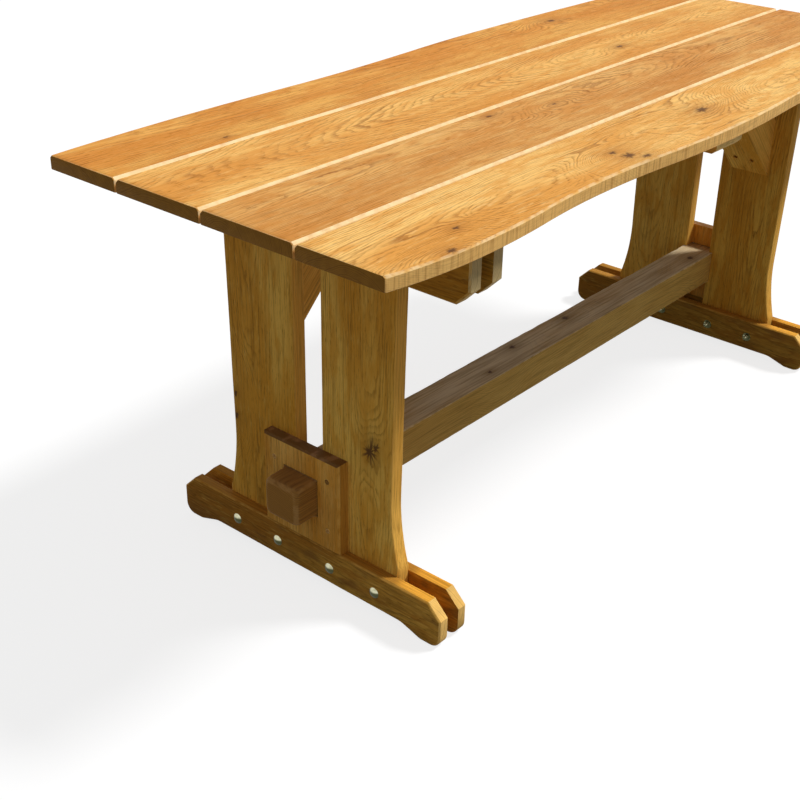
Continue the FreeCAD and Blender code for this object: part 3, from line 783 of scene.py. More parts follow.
    def plank_edges(self, colour: Socket) -> Socket:
        """Mark a plank's edges: saw marks on its long sides, a bare, pale bevel along its joints and painted
        light on the upper walls of the joints.

        Args:
            colour: The sawn wood's colour.

        Returns:
            The colour with its edges marked.
        """
        graph, finish, facing = self.graph, self.finish, self.facing
        ripple = graph.ease(graph.cloud(self.world, SAW_RIPPLE, 2.0), 0.42, 0.72)
        sides = graph.product(graph.ease(facing[1], 0.75, 0.9), ripple, finish.saw_marks)
        colour = graph.mix(sides, colour, finish.line)
        wavy = graph.ease(graph.math("ABSOLUTE", graph.dot(self.world, ACROSS)), *WAVY_EDGE)
        joint_bevel = graph.math("MULTIPLY_ADD", self.ragged, 0.4, 0.6)
        fainter = graph.math("SUBTRACT", graph.product(self.ragged, 0.55), joint_bevel)
        worked = graph.math("ADD", joint_bevel, graph.product(wavy, fainter))
        long_side = graph.ease(facing[0], 0.5, 0.3)
        bevel = graph.product(self.arris, graph.ease(self.up, 0.15, 0.35), worked, long_side)
        # Painted light: the upper walls of the gaps between planks take the pale bare colour.
        high = graph.ease(graph.dot(self.world, UPWARD), *PAINTED_GAP_LIGHT_LEVEL)
        painted_gap_light = graph.product(graph.ease(facing[1], 0.8, 0.95), high)
        painted_gap_light = graph.product(painted_gap_light, joint_bevel, graph.math("SUBTRACT", 1.0, wavy))
        return graph.mix(graph.math("MAXIMUM", bevel, painted_gap_light), colour, finish.bare)

    def weathered(self, colour: Socket) -> Socket:
        """Weather the beam: a grey top, a bare arris and dark tenons.

        Args:
            colour: The sawn wood's colour.

        Returns:
            The weathered colour.
        """
        graph, finish, cut = self.graph, self.finish, self.cut
        silver = graph.mix(graph.ease(cut["Fibre"], 0.35, 0.7), finish.worn, WEATHERED)
        silver = graph.mix(graph.product(cut["Patch"], 0.5), silver, colour)
        colour = graph.mix(graph.ease(self.up, 0.55, 0.9, 0.0, 0.9), colour, silver)
        bare = graph.product(self.arris, self.ragged)
        colour = graph.mix(graph.product(bare, 0.75), colour, finish.bare)
        streaks = graph.product(graph.ease(cut["Fibre"], 0.4, 0.7), graph.ease(self.facing[0], 0.8, 0.4))
        brown = TENON_BROWN
        for mark, share in ((streaks, 0.8), (cut["Early"], 0.6), (cut["Patch"], 0.5)):
            brown = graph.mix(graph.product(mark, share), brown, TENON_DARK)
        brown = graph.mix(graph.product(bare, 0.6), brown, TENON_PALE)
        reach = graph.math("ABSOLUTE", graph.dot(self.world, ALONG))
        return graph.mix(graph.ease(reach, *TENON_START, 0.0, 0.95), colour, brown)

    def relief(self) -> Socket:
        """Sink the pores and the soft wood a little.

        Returns:
            The bent direction of the surface.
        """
        graph, cut = self.graph, self.cut
        low = graph.math("MULTIPLY_ADD", cut["Pores"], -0.7, graph.math("MULTIPLY", cut["Early"], -0.3))
        return graph.bump(graph.math("MULTIPLY_ADD", cut["Fibre"], 0.4, low), 0.35, self.finish.relief)


class MeshMaker:
    """Collects the points and faces of one piece, then makes its object."""

    def __init__(self) -> None:
        """Start with nothing."""
        self.points: list[Vector] = []
        self.faces: list[tuple[int, ...]] = []

    def ring(self, points: Iterable[Vector]) -> list[int]:
        """Add a closed row of points.

        Args:
            points: The points, in order.

        Returns:
            Their numbers.
        """
        first = len(self.points)
        self.points.extend(points)
        return list(range(first, len(self.points)))

    def stack(self, rows: Iterable[Iterable[Vector]]) -> list[list[int]]:
        """Join closed rows of the same count by belts of four-sided faces.

        Args:
            rows: The rows, each turning left as seen from the last one's side.

        Returns:
            The numbers of the points in each row.
        """
        rings = [self.ring(row) for row in rows]
        for lower, upper in zip(rings, rings[1:]):
            self.belt(lower, upper)
        return rings

    def belt(self, lower: list[int], upper: list[int]) -> None:
        """Join two closed rows.

        Args:
            lower: The numbers of the points in the first row.
            upper: The numbers of the points in the next one.
        """
        for index, here in enumerate(lower):
            after = (index + 1) % len(lower)
            self.faces.append((here, lower[after], upper[after], upper[index]))

    def close(self, rings: list[list[int]]) -> None:
        """Close the first and the last row with one face each."""
        self.faces.append(tuple(reversed(rings[0])))
        self.faces.append(tuple(rings[-1]))

    def loft(self, rows: Iterable[Iterable[Vector]]) -> None:
        """Join closed rows into one closed form."""
        self.close(self.stack(rows))

    def make(self, name: str, slot: str, material: bpy.types.Material, *nodes: str) -> bpy.types.Object:
        """Make the piece, hang it on the body and put it in place of CAD nodes.

        Args:
            name: The piece's name.
            slot: The record's material slot that its finish belongs to; not used.
            material: The material of the whole piece.
            nodes: The CAD nodes that it stands for.

        Returns:
            The new object.
        """
        mesh = bpy.data.meshes.new(name)
        mesh.from_pydata(self.points, [], self.faces)
        mesh.shade_smooth()
        mesh.set_sharp_from_angle(angle=FACET_ANGLE)
        mesh.materials.append(material)
        piece = add_object(name, mesh)
        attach(piece, BODY)
        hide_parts(*nodes)
        LOG.info("built %s with %d faces for %s", name, len(self.faces), ", ".join(nodes))
        return piece


def trace(corners: Sequence[Triple], step: float) -> list[Vector]:
    """Walk round a closed outline, rounding its corners and placing points along its sides.

    Args:
        corners: The two coordinates and the radius of each corner, turning left.
        step: The longest distance between two points.

    Returns:
        The points of the outline.
    """
    path = []
    for index, (first, second, radius) in enumerate(corners):
        here = Vector((first, second))
        into = (here - Vector(corners[index - 1][:2])).normalized()
        out = (Vector(corners[(index + 1) % len(corners)][:2]) - here).normalized()
        turn = math.atan2(into.x * out.y - into.y * out.x, into.dot(out))
        start = here - into * (radius * math.tan(abs(turn) / 2))
        centre = start + Vector((-into.y, into.x)) * math.copysign(radius, turn)
        bends = math.ceil(abs(turn) / ARC_STEP) if radius else 0
        for bend in range(bends + 1):
            path.append(centre + Matrix.Rotation(turn * bend / max(bends, 1), 2) @ (start - centre))
    dense = []
    for here, after in zip(path, path[1:] + path[:1]):
        parts = max(1, math.ceil((after - here).length / step))
        dense += [here.lerp(after, part / parts) for part in range(parts)]
    return dense


def inward(outline: list[Vector]) -> list[Vector]:
    """Give the way to step in from each point of an outline so that all its sides move by one.

    Args:
        outline: The points, turning left.

    Returns:
        One step for each point.
    """
    steps = []
    for index, here in enumerate(outline):
        into = (here - outline[index - 1]).normalized()
        out = (outline[(index + 1) % len(outline)] - here).normalized()
        before, after = Vector((-into.y, into.x)), Vector((-out.y, out.x))
        middle = (before + after).normalized()
        steps.append(middle / max(middle.dot(before), 0.5))
    return steps


SEED_GAP = 7.31


def wander(point: Vector, seed: float, often: float) -> float:
    """Give a number that wanders smoothly between about -1 and 1 along an outline.

    Args:
        point: A point of the outline.
        seed: What makes this edge differ from another.
        often: How many times a metre it turns.

    Returns:
        The number.
    """
    return noise.noise(Vector((point[0] * often, point[1] * often, seed * SEED_GAP)))


def uneven(point: Vector, seed: float, waves: Waves) -> float:
    """Give a factor that wanders about 1 along an outline.

    Args:
        point: A point of the outline.
        seed: What makes this edge differ from another.
        waves: For each wave, how far it goes and how many times a metre it turns.

    Returns:
        The factor.
    """
    return sum((share * wander(point, seed, often) for share, often in waves), 1.0)


def mirrored_cuts(end: Sequence[Pair], straight: float, step: float) -> list[Pair]:
    """List the cuts along a piece with two ends alike.

    Args:
        end: The cuts of its left end: the place along it, and how far the piece has drawn in there.
        straight: How far from the middle the ends begin.
        step: About how far apart the cuts between the ends are.

    Returns:
        All cuts, from left to right.
    """
    count = round(2 * straight / step)
    between = [(-straight + 2 * straight * index / count, 0.0) for index in range(1, count)]
    return [*end, *between, *((-along, inset) for along, inset in reversed(end))]


class Arris(Enum):
    """How the arris between a face and the sides is worked: steps in from the side and down from the face."""

    BEVEL = ((1.0, 0.0), (0.86, 0.08), (0.08, 0.86), (0.0, 1.0))
    ROUND = ((1.0, 0.0), (0.62, 0.076), (0.293, 0.293), (0.076, 0.62), (0.0, 1.0))
    EASED = ((1.0, 0.0), (0.293, 0.293), (0.0, 1.0))


@dataclass(frozen=True)
class Rim:
    """The arris round one face of a board, with its size at each point of the outline."""

    arris: Arris
    size: Callable[[Vector], float]


# Turns an outline seen from the right, and a level towards the right, into the table's frame.
UPRIGHT = Matrix(((0.0, 0.0, 1.0), (1.0, 0.0, 0.0), (0.0, 1.0, 0.0)))


def raise_board(
    maker: MeshMaker, outline: list[Vector], low: float, high: float, low_rim: Rim, high_rim: Rim,
) -> None:
    """Raise an outline seen from the right into a board whose arrises are worked all round.

    Args:
        maker: Takes the points and faces.
        outline: The outline, turning left as seen from the high face.
        low: The level of the low face.
        high: The level of the high face.
        low_rim: The arris of the low face.
        high_rim: The arris of the high face.
    """
    steps = inward(outline)
    rows = []
    for rim, level, sense in ((low_rim, low, 1.0), (high_rim, high, -1.0)):
        sizes = [rim.size(point) for point in outline]
        face_rows = []
        for inset, drop in rim.arris.value:
            row = []
            for point, step, size in zip(outline, steps, sizes):
                flat = point + step * (inset * size)
                row.append(UPRIGHT @ Vector((flat.x, flat.y, level + sense * drop * size)))
            face_rows.append(row)
        rows += face_rows if sense > 0 else face_rows[::-1]
    maker.loft(rows)


def dress_node(node: bpy.types.Object, material: bpy.types.Material) -> None:
    """Put one material on every slot of a piece and report it.

    Args:
        node: The piece.
        material: Its finish.
    """
    for slot in node.material_slots:
        slot.material = material
    LOG.info("dressed %s with %s", node.name, material.name)


def ease_arrises(node: bpy.types.Object, width: float) -> None:
    """Break the sharp arrises of a piece.

    Args:
        node: The piece.
        width: The width of the broken arris.
    """
    broken = node.modifiers.new("broken_arrises", "BEVEL")
    broken.width = width
    broken.segments = 2
    broken.limit_method = "ANGLE"
    broken.angle_limit = BROKEN_ANGLE


@dataclass
class TableTop:
    """Four planks side by side and the batten that holds them at mid length."""

    timber: Timber
    nodes: dict[str, bpy.types.Object]
    half_length: float = 0.9
    top: float = 0.75
    joint_pitch: float = 0.189
    half_gap: float = 0.0015
    end_arris: float = 0.0022
    front_bevel: float = 0.0040
    back_bevel: float = 0.0062
    wavy_bevel: float = 0.0032
    wavy_from: float = 0.3
    wavy_waves: Waves = ((0.4, 5.0), (0.12, 31.0))
    joint_waves: Waves = ((0.2, 5.0), (0.2, 31.0))
    lower_arris: float = 0.0012
    station_step: float = 0.008
    front_turns: tuple[Pair, ...] = (
        (-1.0, 0.353), (-0.80, 0.372), (-0.43, 0.354), (-0.01, 0.370), (0.45, 0.354), (0.78, 0.372),
        (1.0, 0.353),
    )
    back_turns: tuple[Pair, ...] = (
        (-1.0, 0.349), (-0.66, 0.360), (-0.28, 0.356), (0.26, 0.372), (1.0, 0.349),
    )

    def boards(self) -> list[Board]:
        """List the planks of the top.

        Returns:
            The planks, from the back to the front.
        """
        plank = dict(lie=Lie.FLAT, wear=Wear.PLANK)
        return [
            Board(
                "back_outer_plank", TOP_OAK.tinted((0.87, 0.74, 0.55)), seed=1, ring=0.0032,
                pith_across=0.06, pith_depth=-0.08, slope=0.02,
                knots=[Knot(-0.648, -0.065, 0.004, 0.02, 0.01), Knot(0.42, 0.03, 0.008)], **plank,
            ),
            Board(
                "back_inner_plank", replace(TOP_OAK.tinted((0.94, 0.88, 0.80)), figure=0.72), seed=2,
                ring=0.0033, pith_across=-0.005, pith_depth=-0.08, slope=0.10,
                knots=[Knot(0.33, -0.02, 0.007)], **plank,
            ),
            Board(
                "front_inner_plank", TOP_OAK.tinted((0.82, 0.74, 0.72)), seed=3, ring=0.0032,
                pith_across=0.05, pith_depth=-0.06, slope=-0.03,
                knots=[Knot(-0.255, 0.066, 0.005, 0.025, 0.015), Knot(-0.113, 0.027, 0.004)], **plank,
            ),
            Board(
                "front_outer_plank", TOP_OAK, seed=4, ring=0.0030,
                pith_across=-0.02, pith_depth=-0.055, slope=0.05, knots=[
                    Knot(-0.775, -0.080, 0.007, 0.045, 0.035), Knot(-0.707, -0.033, 0.005, 0.02, 0.01),
                    Knot(-0.277, -0.014, 0.006), Knot(-0.268, -0.040, 0.009, 0.05, 0.045, 0.5),
                    Knot(-0.249, -0.062, 0.007), Knot(0.041, 0.002, 0.011, 0.06, 0.05, 0.5),
                    Knot(0.47, -0.02, 0.008, 0.04, 0.03),
                ], **plank,
            ),
        ]

    def reach(self, along: float, turns: Sequence[Pair]) -> float:
        """Give how far a wavy edge lies from the middle of the table.

        Args:
            along: The place along the table.
            turns: The edge's turning points: share of half the length, and reach.

        Returns:
            The reach; the edge is level at each turning point between the ends.
        """
        share = along / self.half_length
        last = len(turns) - 2
        for index, ((x1, y1), (x2, y2)) in enumerate(zip(turns, turns[1:])):
            if share > x2 and index < last:
                continue
            part = (share - x1) / (x2 - x1)
            if index == 0:
                return y2 + (y1 - y2) * (1 - part) ** 2
            if index == last:
                return y1 + (y2 - y1) * part ** 2
            bend = 2 * part ** 2 if part < 0.5 else 1 - 2 * (1 - part) ** 2
            return y1 + (y2 - y1) * bend
        return turns[-1][1]

    def edges(self, node: str, along: float) -> Pair:
        """Give where the front and the back edge of a plank lie.

        Args:
            node: The plank's name.
            along: The place along the table.

        Returns:
            The places of the two edges across the table.
        """
        joint, gap = self.joint_pitch, self.half_gap
        if node == "front_outer_plank":
            return -self.reach(along, self.front_turns), -joint - gap
        if node == "back_outer_plank":
            return joint + gap, self.reach(along, self.back_turns)
        return (gap, joint - gap) if node == "back_inner_plank" else (gap - joint, -gap)

    def bevel(self, along: float, across: float, size: float, seed: int) -> float:
        """Give the size of the hand-planed bevel at one place of a plank's edge.

        Args:
            along: The place along the table.
            across: The place of the edge.
            size: The usual size of the bevel at a joint.
            seed: The plank's own number.

        Returns:
            The size of the bevel.
        """
        place = Vector((along, round(across, 1)))
        if abs(across) > self.wavy_from:
            return self.wavy_bevel * uneven(place, seed, self.wavy_waves)
        return size * uneven(place, seed, self.joint_waves)

    def section(self, board: Board, along: float, inset: float) -> list[Vector]:
        """Draw one cut through a plank.

        Args:
            board: The plank.
            along: The place along the table.
            inset: How far the eased end has drawn in there.

        Returns:
            The points of the cut, turning left as seen from the right.
        """
        front, back = self.edges(board.node, along)
        front_bevel = self.bevel(along, front, self.front_bevel, board.seed)
        back_bevel = self.bevel(along, back, self.back_bevel, board.seed)
        front, back, low, high = front + inset, back - inset, UNDERSIDE + inset, self.top - inset
        arris = self.lower_arris
        cut = [(front + arris, low), (back - arris, low), (back, low + arris)]
        profile = Arris.BEVEL.value
        cut += [(back - back_bevel * step, high - back_bevel * drop) for step, drop in reversed(profile)]
        cut += [(front + front_bevel * step, high - front_bevel * drop) for step, drop in profile]
        cut.append((front, low + arris))
        return [Vector((along, across, level)) for across, level in cut]

    def stations(self) -> list[Pair]:
        """List the cuts along a plank.

        Returns:
            For each cut, its place and how far the eased end has drawn in there.
        """
        end, arris = self.half_length, self.end_arris
        eased = [(-end + arris * step, arris * drop) for drop, step in Arris.EASED.value]
        return mirrored_cuts(eased, end - arris, self.station_step)

    def build(self) -> None:
        """Build the planks and dress the batten."""
        for board in self.boards():
            maker = MeshMaker()
            maker.loft(self.section(board, along, inset) for along, inset in self.stations())
            maker.make(board.node + "_worn", "oak_top", self.timber.material(board), board.node)
        batten = Board("middle_batten", FRAME_OAK, Lie.CROSSWISE, seed=5)
        dress_node(self.nodes[batten.node], self.timber.material(batten))
        ease_arrises(self.nodes[batten.node], self.lower_arris)


@dataclass
class Trestle:
    """One of the two trestles: uprights, feet, cleats, collar plate and the knee brace."""

    timber: Timber
    nodes: dict[str, bpy.types.Object]
    side: str
    seed: int
    slot_reach: float = 0.031
    foot_reach: float = 0.205
    waist_reach: float = 0.186
    head_reach: float = 0.194
    waist_level: float = 0.225
    flare_level: float = 0.096
    foot_level: float = 0.014
    housing_reach: float = 0.0393
    housing_low: float = 0.144
    housing_high: float = 0.2183
    flare_steps: int = 8
    upright_arris: float = 0.0026
    upright_waves: Waves = ((0.35, 7.0), (0.15, 50.0))
    close_arris: float = 0.0008
    broken_arris: float = 0.0015
    rail_half_length: float = 0.314
    rail_height: float = 0.085
    rail_bevel: float = 0.028
    rail_thickness: float = 0.021
    rail_arris: float = 0.0030
    rail_waves: Waves = ((0.25, 9.0), (0.12, 40.0))
    toe_length: float = 0.042
    toe_slope: float = 0.044
    toe_round: float = 0.022
    relief_round: float = 0.040
    outline_step: float = 0.010
    near_slot: float = 0.05
    slack: float = 0.001

    @property
    def hand(self) -> int:
        """Give -1 for the left trestle and 1 for the right one."""
        return -1 if self.side == "left" else 1

    def upright_outline(self, row: int) -> list[Vector]:
        """Draw an upright seen from the right: straight by the slot, waisted and flared outside.

        Args:
            row: -1 for the front upright, 1 for the back one.

        Returns:
            The points of its outline, turning left.
        """
        flare = []
        for step in range(self.flare_steps + 1):
            share = step / self.flare_steps
            level = self.flare_level + (self.waist_level - self.flare_level) * share
            reach = self.waist_reach + (self.foot_reach - self.waist_reach) * (1 - share) ** 2
            flare.append((reach, level, 0.0))
        corners = [
            (self.slot_reach, self.foot_level, 0.0),
            (self.foot_reach, self.foot_level, 0.0),
            *flare,
            (self.head_reach, UNDERSIDE, 0.0),
            (self.slot_reach, UNDERSIDE, 0.0),
            (self.slot_reach, self.housing_high, 0.0),
            (self.housing_reach, self.housing_high, 0.0),
            (self.housing_reach, self.housing_low, 0.0),
            (self.slot_reach, self.housing_low, 0.0),
        ]
        if row < 0:
            corners = [(-reach, level, radius) for reach, level, radius in reversed(corners)]
        return trace(corners, self.outline_step)

    def rail_outline(self) -> list[Vector]:
        """Draw a foot rail seen from the right: bevelled corners, rounded toes and a relieved underside.

        Returns:
            The points of its outline, turning left.
        """
        end = self.rail_half_length
        heel = end - self.toe_length
        half = [
            (heel - self.toe_slope, self.foot_level, self.relief_round),
            (heel, 0.0, self.toe_round),
            (end, 0.0, self.toe_round),
            (end, self.rail_height - self.rail_bevel, 0.0),
            (end - self.rail_bevel, self.rail_height, 0.0),
        ]
        other_half = [(-reach, level, radius) for reach, level, radius in reversed(half)]
        return trace(half + other_half, self.outline_step)

    def upright_rim(self, point: Vector, seed: int) -> float:
        """Give how far an upright's arris is worn at one point of its outline.

        Args:
            point: The point.
            seed: The upright's own number.

        Returns:
            The size of the arris.
        """
        at_end = not self.foot_level + self.slack <= point.y <= UNDERSIDE - self.slack
        level_with_beam = self.housing_low - self.slack < point.y < self.housing_high + self.slack
        if at_end or (level_with_beam and abs(point.x) < self.near_slot):
            return self.close_arris
        return self.upright_arris * uneven(point, seed, self.upright_waves)

    def rail_rim(self, point: Vector, seed: int) -> float:
        """Give how far a foot rail's outer arris is worn at one point of its outline."""
        return self.rail_arris * uneven(point, seed, self.rail_waves)

    def build(self) -> None:
        """Build the uprights and the foot rails, and dress the other boards."""
        self.build_uprights()
        self.build_rails()
        rising = Lie.RISING_RIGHT if self.side == "left" else Lie.RISING_LEFT
        brace_row = "back" if self.side == "left" else "front"
        others = [
            ("outer_cleat", SHADED_CLEAT_OAK, Lie.ON_EDGE, Wear.FRAME),
            ("inner_cleat", SHADED_CLEAT_OAK, Lie.ON_EDGE, Wear.FRAME),
            ("collar_plate", COLLAR_OAK, Lie.STANDING, Wear.COLLAR),
            (f"{brace_row}_brace", FRAME_OAK, rising, Wear.FRAME),
        ]
        for index, (name, finish, lie, wear) in enumerate(others):
            board = Board(f"{self.side}_{name}", finish, lie, wear, seed=self.seed + 4 + index)
            dress_node(self.nodes[board.node], self.timber.material(board))
            ease_arrises(self.nodes[board.node], self.broken_arris)

    def build_uprights(self) -> None:
        """Build the two uprights."""
        knots = {
            "left_front": [
                Knot(-0.064, -0.022, 0.010, 0.03, 0.02, 1.0), Knot(-0.052, -0.034, 0.006, 0.02, 0.0, 1.0),
            ],
            "left_back": [Knot(-0.071, 0.062, 0.004), Knot(-0.116, 0.062, 0.005)],
            "right_front": [Knot(0.15, 0.02, 0.008)],
            "right_back": [],
        }
        # The far uprights are darkened to paint the shade they stand in.
        light_and_shade_tints = {"right_front": (0.78, 0.74, 0.60), "right_back": (0.88, 0.90, 0.90)}
        middle = self.hand * TRESTLE_MIDDLE
        for index, (row_name, row) in enumerate((("front", -1), ("back", 1))):
            place = f"{self.side}_{row_name}"
            finish = FRAME_OAK.tinted(light_and_shade_tints.get(place, NO_TINT))
            board = Board(
                f"{place}_upright", finish, Lie.STANDING, seed=self.seed + index,
                pith_across=0.02 * row, pith_depth=-0.06, slope=0.05, knots=knots[place],
            )
            rim = Rim(Arris.ROUND, lambda point, seed=board.seed: self.upright_rim(point, seed))
            maker = MeshMaker()
            low, high = middle - HALF_UPRIGHT, middle + HALF_UPRIGHT
            raise_board(maker, self.upright_outline(row), low, high, rim, rim)
            maker.make(board.node + "_worn", "oak_frame", self.timber.material(board), board.node)

    def build_rails(self) -> None:
        """Build the two foot rails."""
        # The left inner rail is lightened to paint the light bounced onto it; the right inner rail is
        # darkened to paint its shade.
        light_and_shade_tints = {"left_inner": (1.30, 1.12, 0.80), "right_inner": (0.72, 0.74, 0.74)}
        for index, (row_name, away) in enumerate((("outer", 1), ("inner", -1))):
            place = f"{self.side}_{row_name}"
            finish = FOOT_OAK.tinted(light_and_shade_tints.get(place, NO_TINT))
            board = Board(f"{place}_foot_rail", finish, Lie.ON_EDGE, Wear.FOOT, seed=self.seed + 2 + index)
            worn = Rim(Arris.BEVEL, lambda point, seed=board.seed: self.rail_rim(point, seed))
            close = Rim(Arris.EASED, lambda point: self.close_arris)
            sense = self.hand * away
            near = self.hand * TRESTLE_MIDDLE + sense * HALF_UPRIGHT
            low, high = sorted((near, near + sense * self.rail_thickness))
            rims = (close, worn) if sense > 0 else (worn, close)
            maker = MeshMaker()
            raise_board(maker, self.rail_outline(), low, high, *rims)
            maker.make(board.node + "_worn", "oak_frame", self.timber.material(board), board.node)


@dataclass
class Stretcher:
    """The beam that runs through both trestles, with a worn arris and hewn tenons."""

    timber: Timber
    half_length: float = 0.761
    half_width: float = 0.039
    bottom: float = 0.144
    top: float = 0.218
    housing: Pair = (0.655, 0.709)
    tenon_round: float = 0.013
    tenon_arris: float = 0.0105
    tenon_waves: Waves = ((0.2, 30.0),)
    arris: float = 0.0016
    housed_arris: float = 0.00096
    upper_wear: Pair = (0.0055, 0.0025)
    lower_wear: Pair = (0.0025, 0.001)
    wear_often: Pair = (6.0, 45.0)
    corner_gap: float = 3.1
    station_step: float = 0.008
    corner_steps: int = 4
    end_steps: int = 5

    def stations(self) -> list[Pair]:
        """List the cuts along the beam.

        Returns:
            For each cut, its place and how far the rounded end has drawn in there.
        """
        rounded = []
        for step in range(self.end_steps + 1):
            angle = math.pi / 2 * step / self.end_steps
            inset = self.tenon_round * (1 - math.sin(angle))
            rounded.append((-self.half_length + self.tenon_round * (1 - math.cos(angle)), inset))
        return mirrored_cuts(rounded, self.half_length - self.tenon_round, self.station_step)

    def rounding(self, along: float, corner: int) -> float:
        """Give how far one long arris is worn at a cut.

        Args:
            along: The place along the beam.
            corner: Which of the four arrises, the upper two being 1 and 2.

        Returns:
            The radius of the arris.
        """
        place = Vector((along, corner * self.corner_gap))
        low, high = self.housing
        if abs(along) > high:
            return self.tenon_arris * uneven(place, 3, self.tenon_waves)
        if abs(along) > low:
            return self.housed_arris
        radius = self.arris
        wear = self.upper_wear if corner in (1, 2) else self.lower_wear
        for seed, (depth, often) in enumerate(zip(wear, self.wear_often), start=1):
            radius += depth * max(0.0, wander(place, seed, often))
        return radius

    def section(self, along: float, inset: float) -> list[Vector]:
        """Draw one cut through the beam.

        Args:
            along: The place along the beam.
            inset: How far the rounded end has drawn in.

        Returns:
            The points of the cut, turning left as seen from the right.
        """
        side, low, high = self.half_width - inset, self.bottom + inset, self.top - inset
        points = []
        for corner, (y, z, start) in enumerate((
            (side, low, -90.0), (side, high, 0.0), (-side, high, 90.0), (-side, low, 180.0),
        )):
            radius = self.rounding(along, corner)
            middle_y = y - math.copysign(radius, y)
            middle_z = z + radius if corner in (0, 3) else z - radius
            for step in range(self.corner_steps + 1):
                angle = math.radians(start + 90.0 * step / self.corner_steps)
                points.append(Vector((
                    along, middle_y + radius * math.cos(angle), middle_z + radius * math.sin(angle),
                )))
        return points

    def build(self) -> None:
        """Build the beam and give it its weathered oak."""
        board = Board(
            "stretcher_beam", BEAM_OAK, Lie.FLAT, Wear.BEAM, seed=30,
            pith_across=0.03, pith_depth=-0.06, slope=0.03, knots=[
                Knot(0.117, 0.016, 0.007), Knot(-0.073, 0.017, 0.006), Knot(-0.191, -0.016, 0.004),
                Knot(0.596, -0.015, 0.007),
            ],
        )
        maker = MeshMaker()
        maker.loft(self.section(along, inset) for along, inset in self.stations())
        maker.make("stretcher_beam_worn", "oak_beam", self.timber.material(board), board.node)


@dataclass(frozen=True)
class MetalFinish:
    """A plated steel: its bright and dull colours and how rough it is."""

    name: str
    bright: Colour
    dull: Colour
    shaded: Colour
    roughness: float

    def material(self) -> bpy.types.Material:
        """Make the plated metal with stains and fine scratches, dark where it mirrors the ground.

        Returns:
            The finished material.
        """
        material = bpy.data.materials.new(self.name)
        graph = fresh_graph(material)
        world = graph.add("TexCoord").outputs["Object"]
        stain = graph.ease(graph.cloud(world, STAINS, 3.0), 0.35, 0.7)
        scratch = graph.cloud(world, SCRATCHES, 2.0)
        up = graph.dot(graph.add("NewGeometry").outputs["Normal"], UPWARD)
        plated = graph.mix(stain, self.bright, self.dull)
        shader = graph.add("BsdfPrincipled")
        graph.feed(shader.inputs["Base Color"], graph.mix(graph.ease(up, 0.42, 0.12), plated, self.shaded))
        shader.inputs["Metallic"].default_value = 1.0
        rough = graph.math("MULTIPLY_ADD", stain, 0.12, self.roughness)
        graph.feed(shader.inputs["Roughness"], graph.math("MULTIPLY_ADD", scratch, 0.08, rough))
        graph.feed(shader.inputs["Normal"], graph.bump(scratch, 0.15, 0.00005))
        graph.show(shader)
        return material


ZINC = MetalFinish("zinc_steel", paint(212, 210, 178), paint(168, 166, 130), paint(74, 76, 52), 0.24)
SCREW = MetalFinish("screw_steel", paint(190, 154, 90), paint(142, 106, 54), paint(126, 94, 46), 0.34)


class Axis(Enum):
    """Which way a bolt or screw is driven, after two directions across it."""

    RIGHT = (ACROSS, UPWARD, ALONG)
    LEFT = (FRONTWARD, UPWARD, (-1.0, 0.0, 0.0))
    UP = (ALONG, ACROSS, UPWARD)


Row = Callable[[float], Pair]
Seat = tuple[Triple, Axis]


def turned_row(along: float, radius: float) -> Row:
    """Give a row of a turned piece that is round."""
    return lambda angle: (along, radius)


def turn_piece(
    maker: MeshMaker, seat: Triple, axis: Axis, rows: Iterable[Row], steps: int,
) -> list[list[int]]:
    """Turn a piece about an axis from rows that may vary with the angle.

    Args:
        maker: Takes the points and faces.
        seat: The point of the axis where along is zero.
        axis: The way that along runs.
        rows: For each row, along and radius at an angle.
        steps: How many points there are in a row.

    Returns:
        The numbers of the points in each row.
    """
    first, second, way = (Vector(item) for item in axis.value)
    angles = [math.tau * step / steps for step in range(steps)]
    belts = []
    for row in rows:
        points = []
        for angle in angles:
            along, radius = row(angle)
            spoke = first * math.cos(angle) + second * math.sin(angle)
            points.append(Vector(seat) + way * along + spoke * radius)
        belts.append(points)
    return maker.stack(belts)


def both_ends(
    reaches: Iterable[float], rows: Iterable[float], levels: Iterable[float], axes: tuple[Axis, Axis],
) -> list[Seat]:
    """Seat pieces at the left end of the table, and at the right end turned half round.

    Args:
        reaches: How far from the middle they sit along the table.
        rows: Where they sit across it, at the left end.
        levels: How high they sit.
        axes: The way that they are driven at the left end and at the right one.

    Returns:
        The seats.
    """
    places = list(itertools.product(reaches, rows, levels))
    return [
        ((hand * reach, -hand * row, level), axis)
        for hand, axis in zip((-1, 1), axes) for reach, row, level in places
    ]


@dataclass(frozen=True)
class BoltSet:
    """The bolts of one joint: half the thickness that they clamp, their level and their places across."""

    joint: str
    clamp: float
    level: float
    rows: tuple[float, ...]

    def seats(self, reach: float) -> list[Seat]:
        """Seat a bolt's head or nut at a reach from the middle of the table."""
        return both_ends((reach,), self.rows, (self.level,), (Axis.RIGHT, Axis.LEFT))


@dataclass(frozen=True)
class ScrewSet:
    """The screws of one node: their length, their head and their places at the left end."""

    node: str
    length: float
    countersunk: bool
    reaches: tuple[float, ...]
    rows: tuple[float, ...]
    levels: tuple[float, ...]
    axes: tuple[Axis, Axis] = (Axis.UP, Axis.UP)

    def seats(self) -> list[Seat]:
        """Seat the screws at both ends of the table."""
        return both_ends(self.reaches, self.rows, self.levels, self.axes)


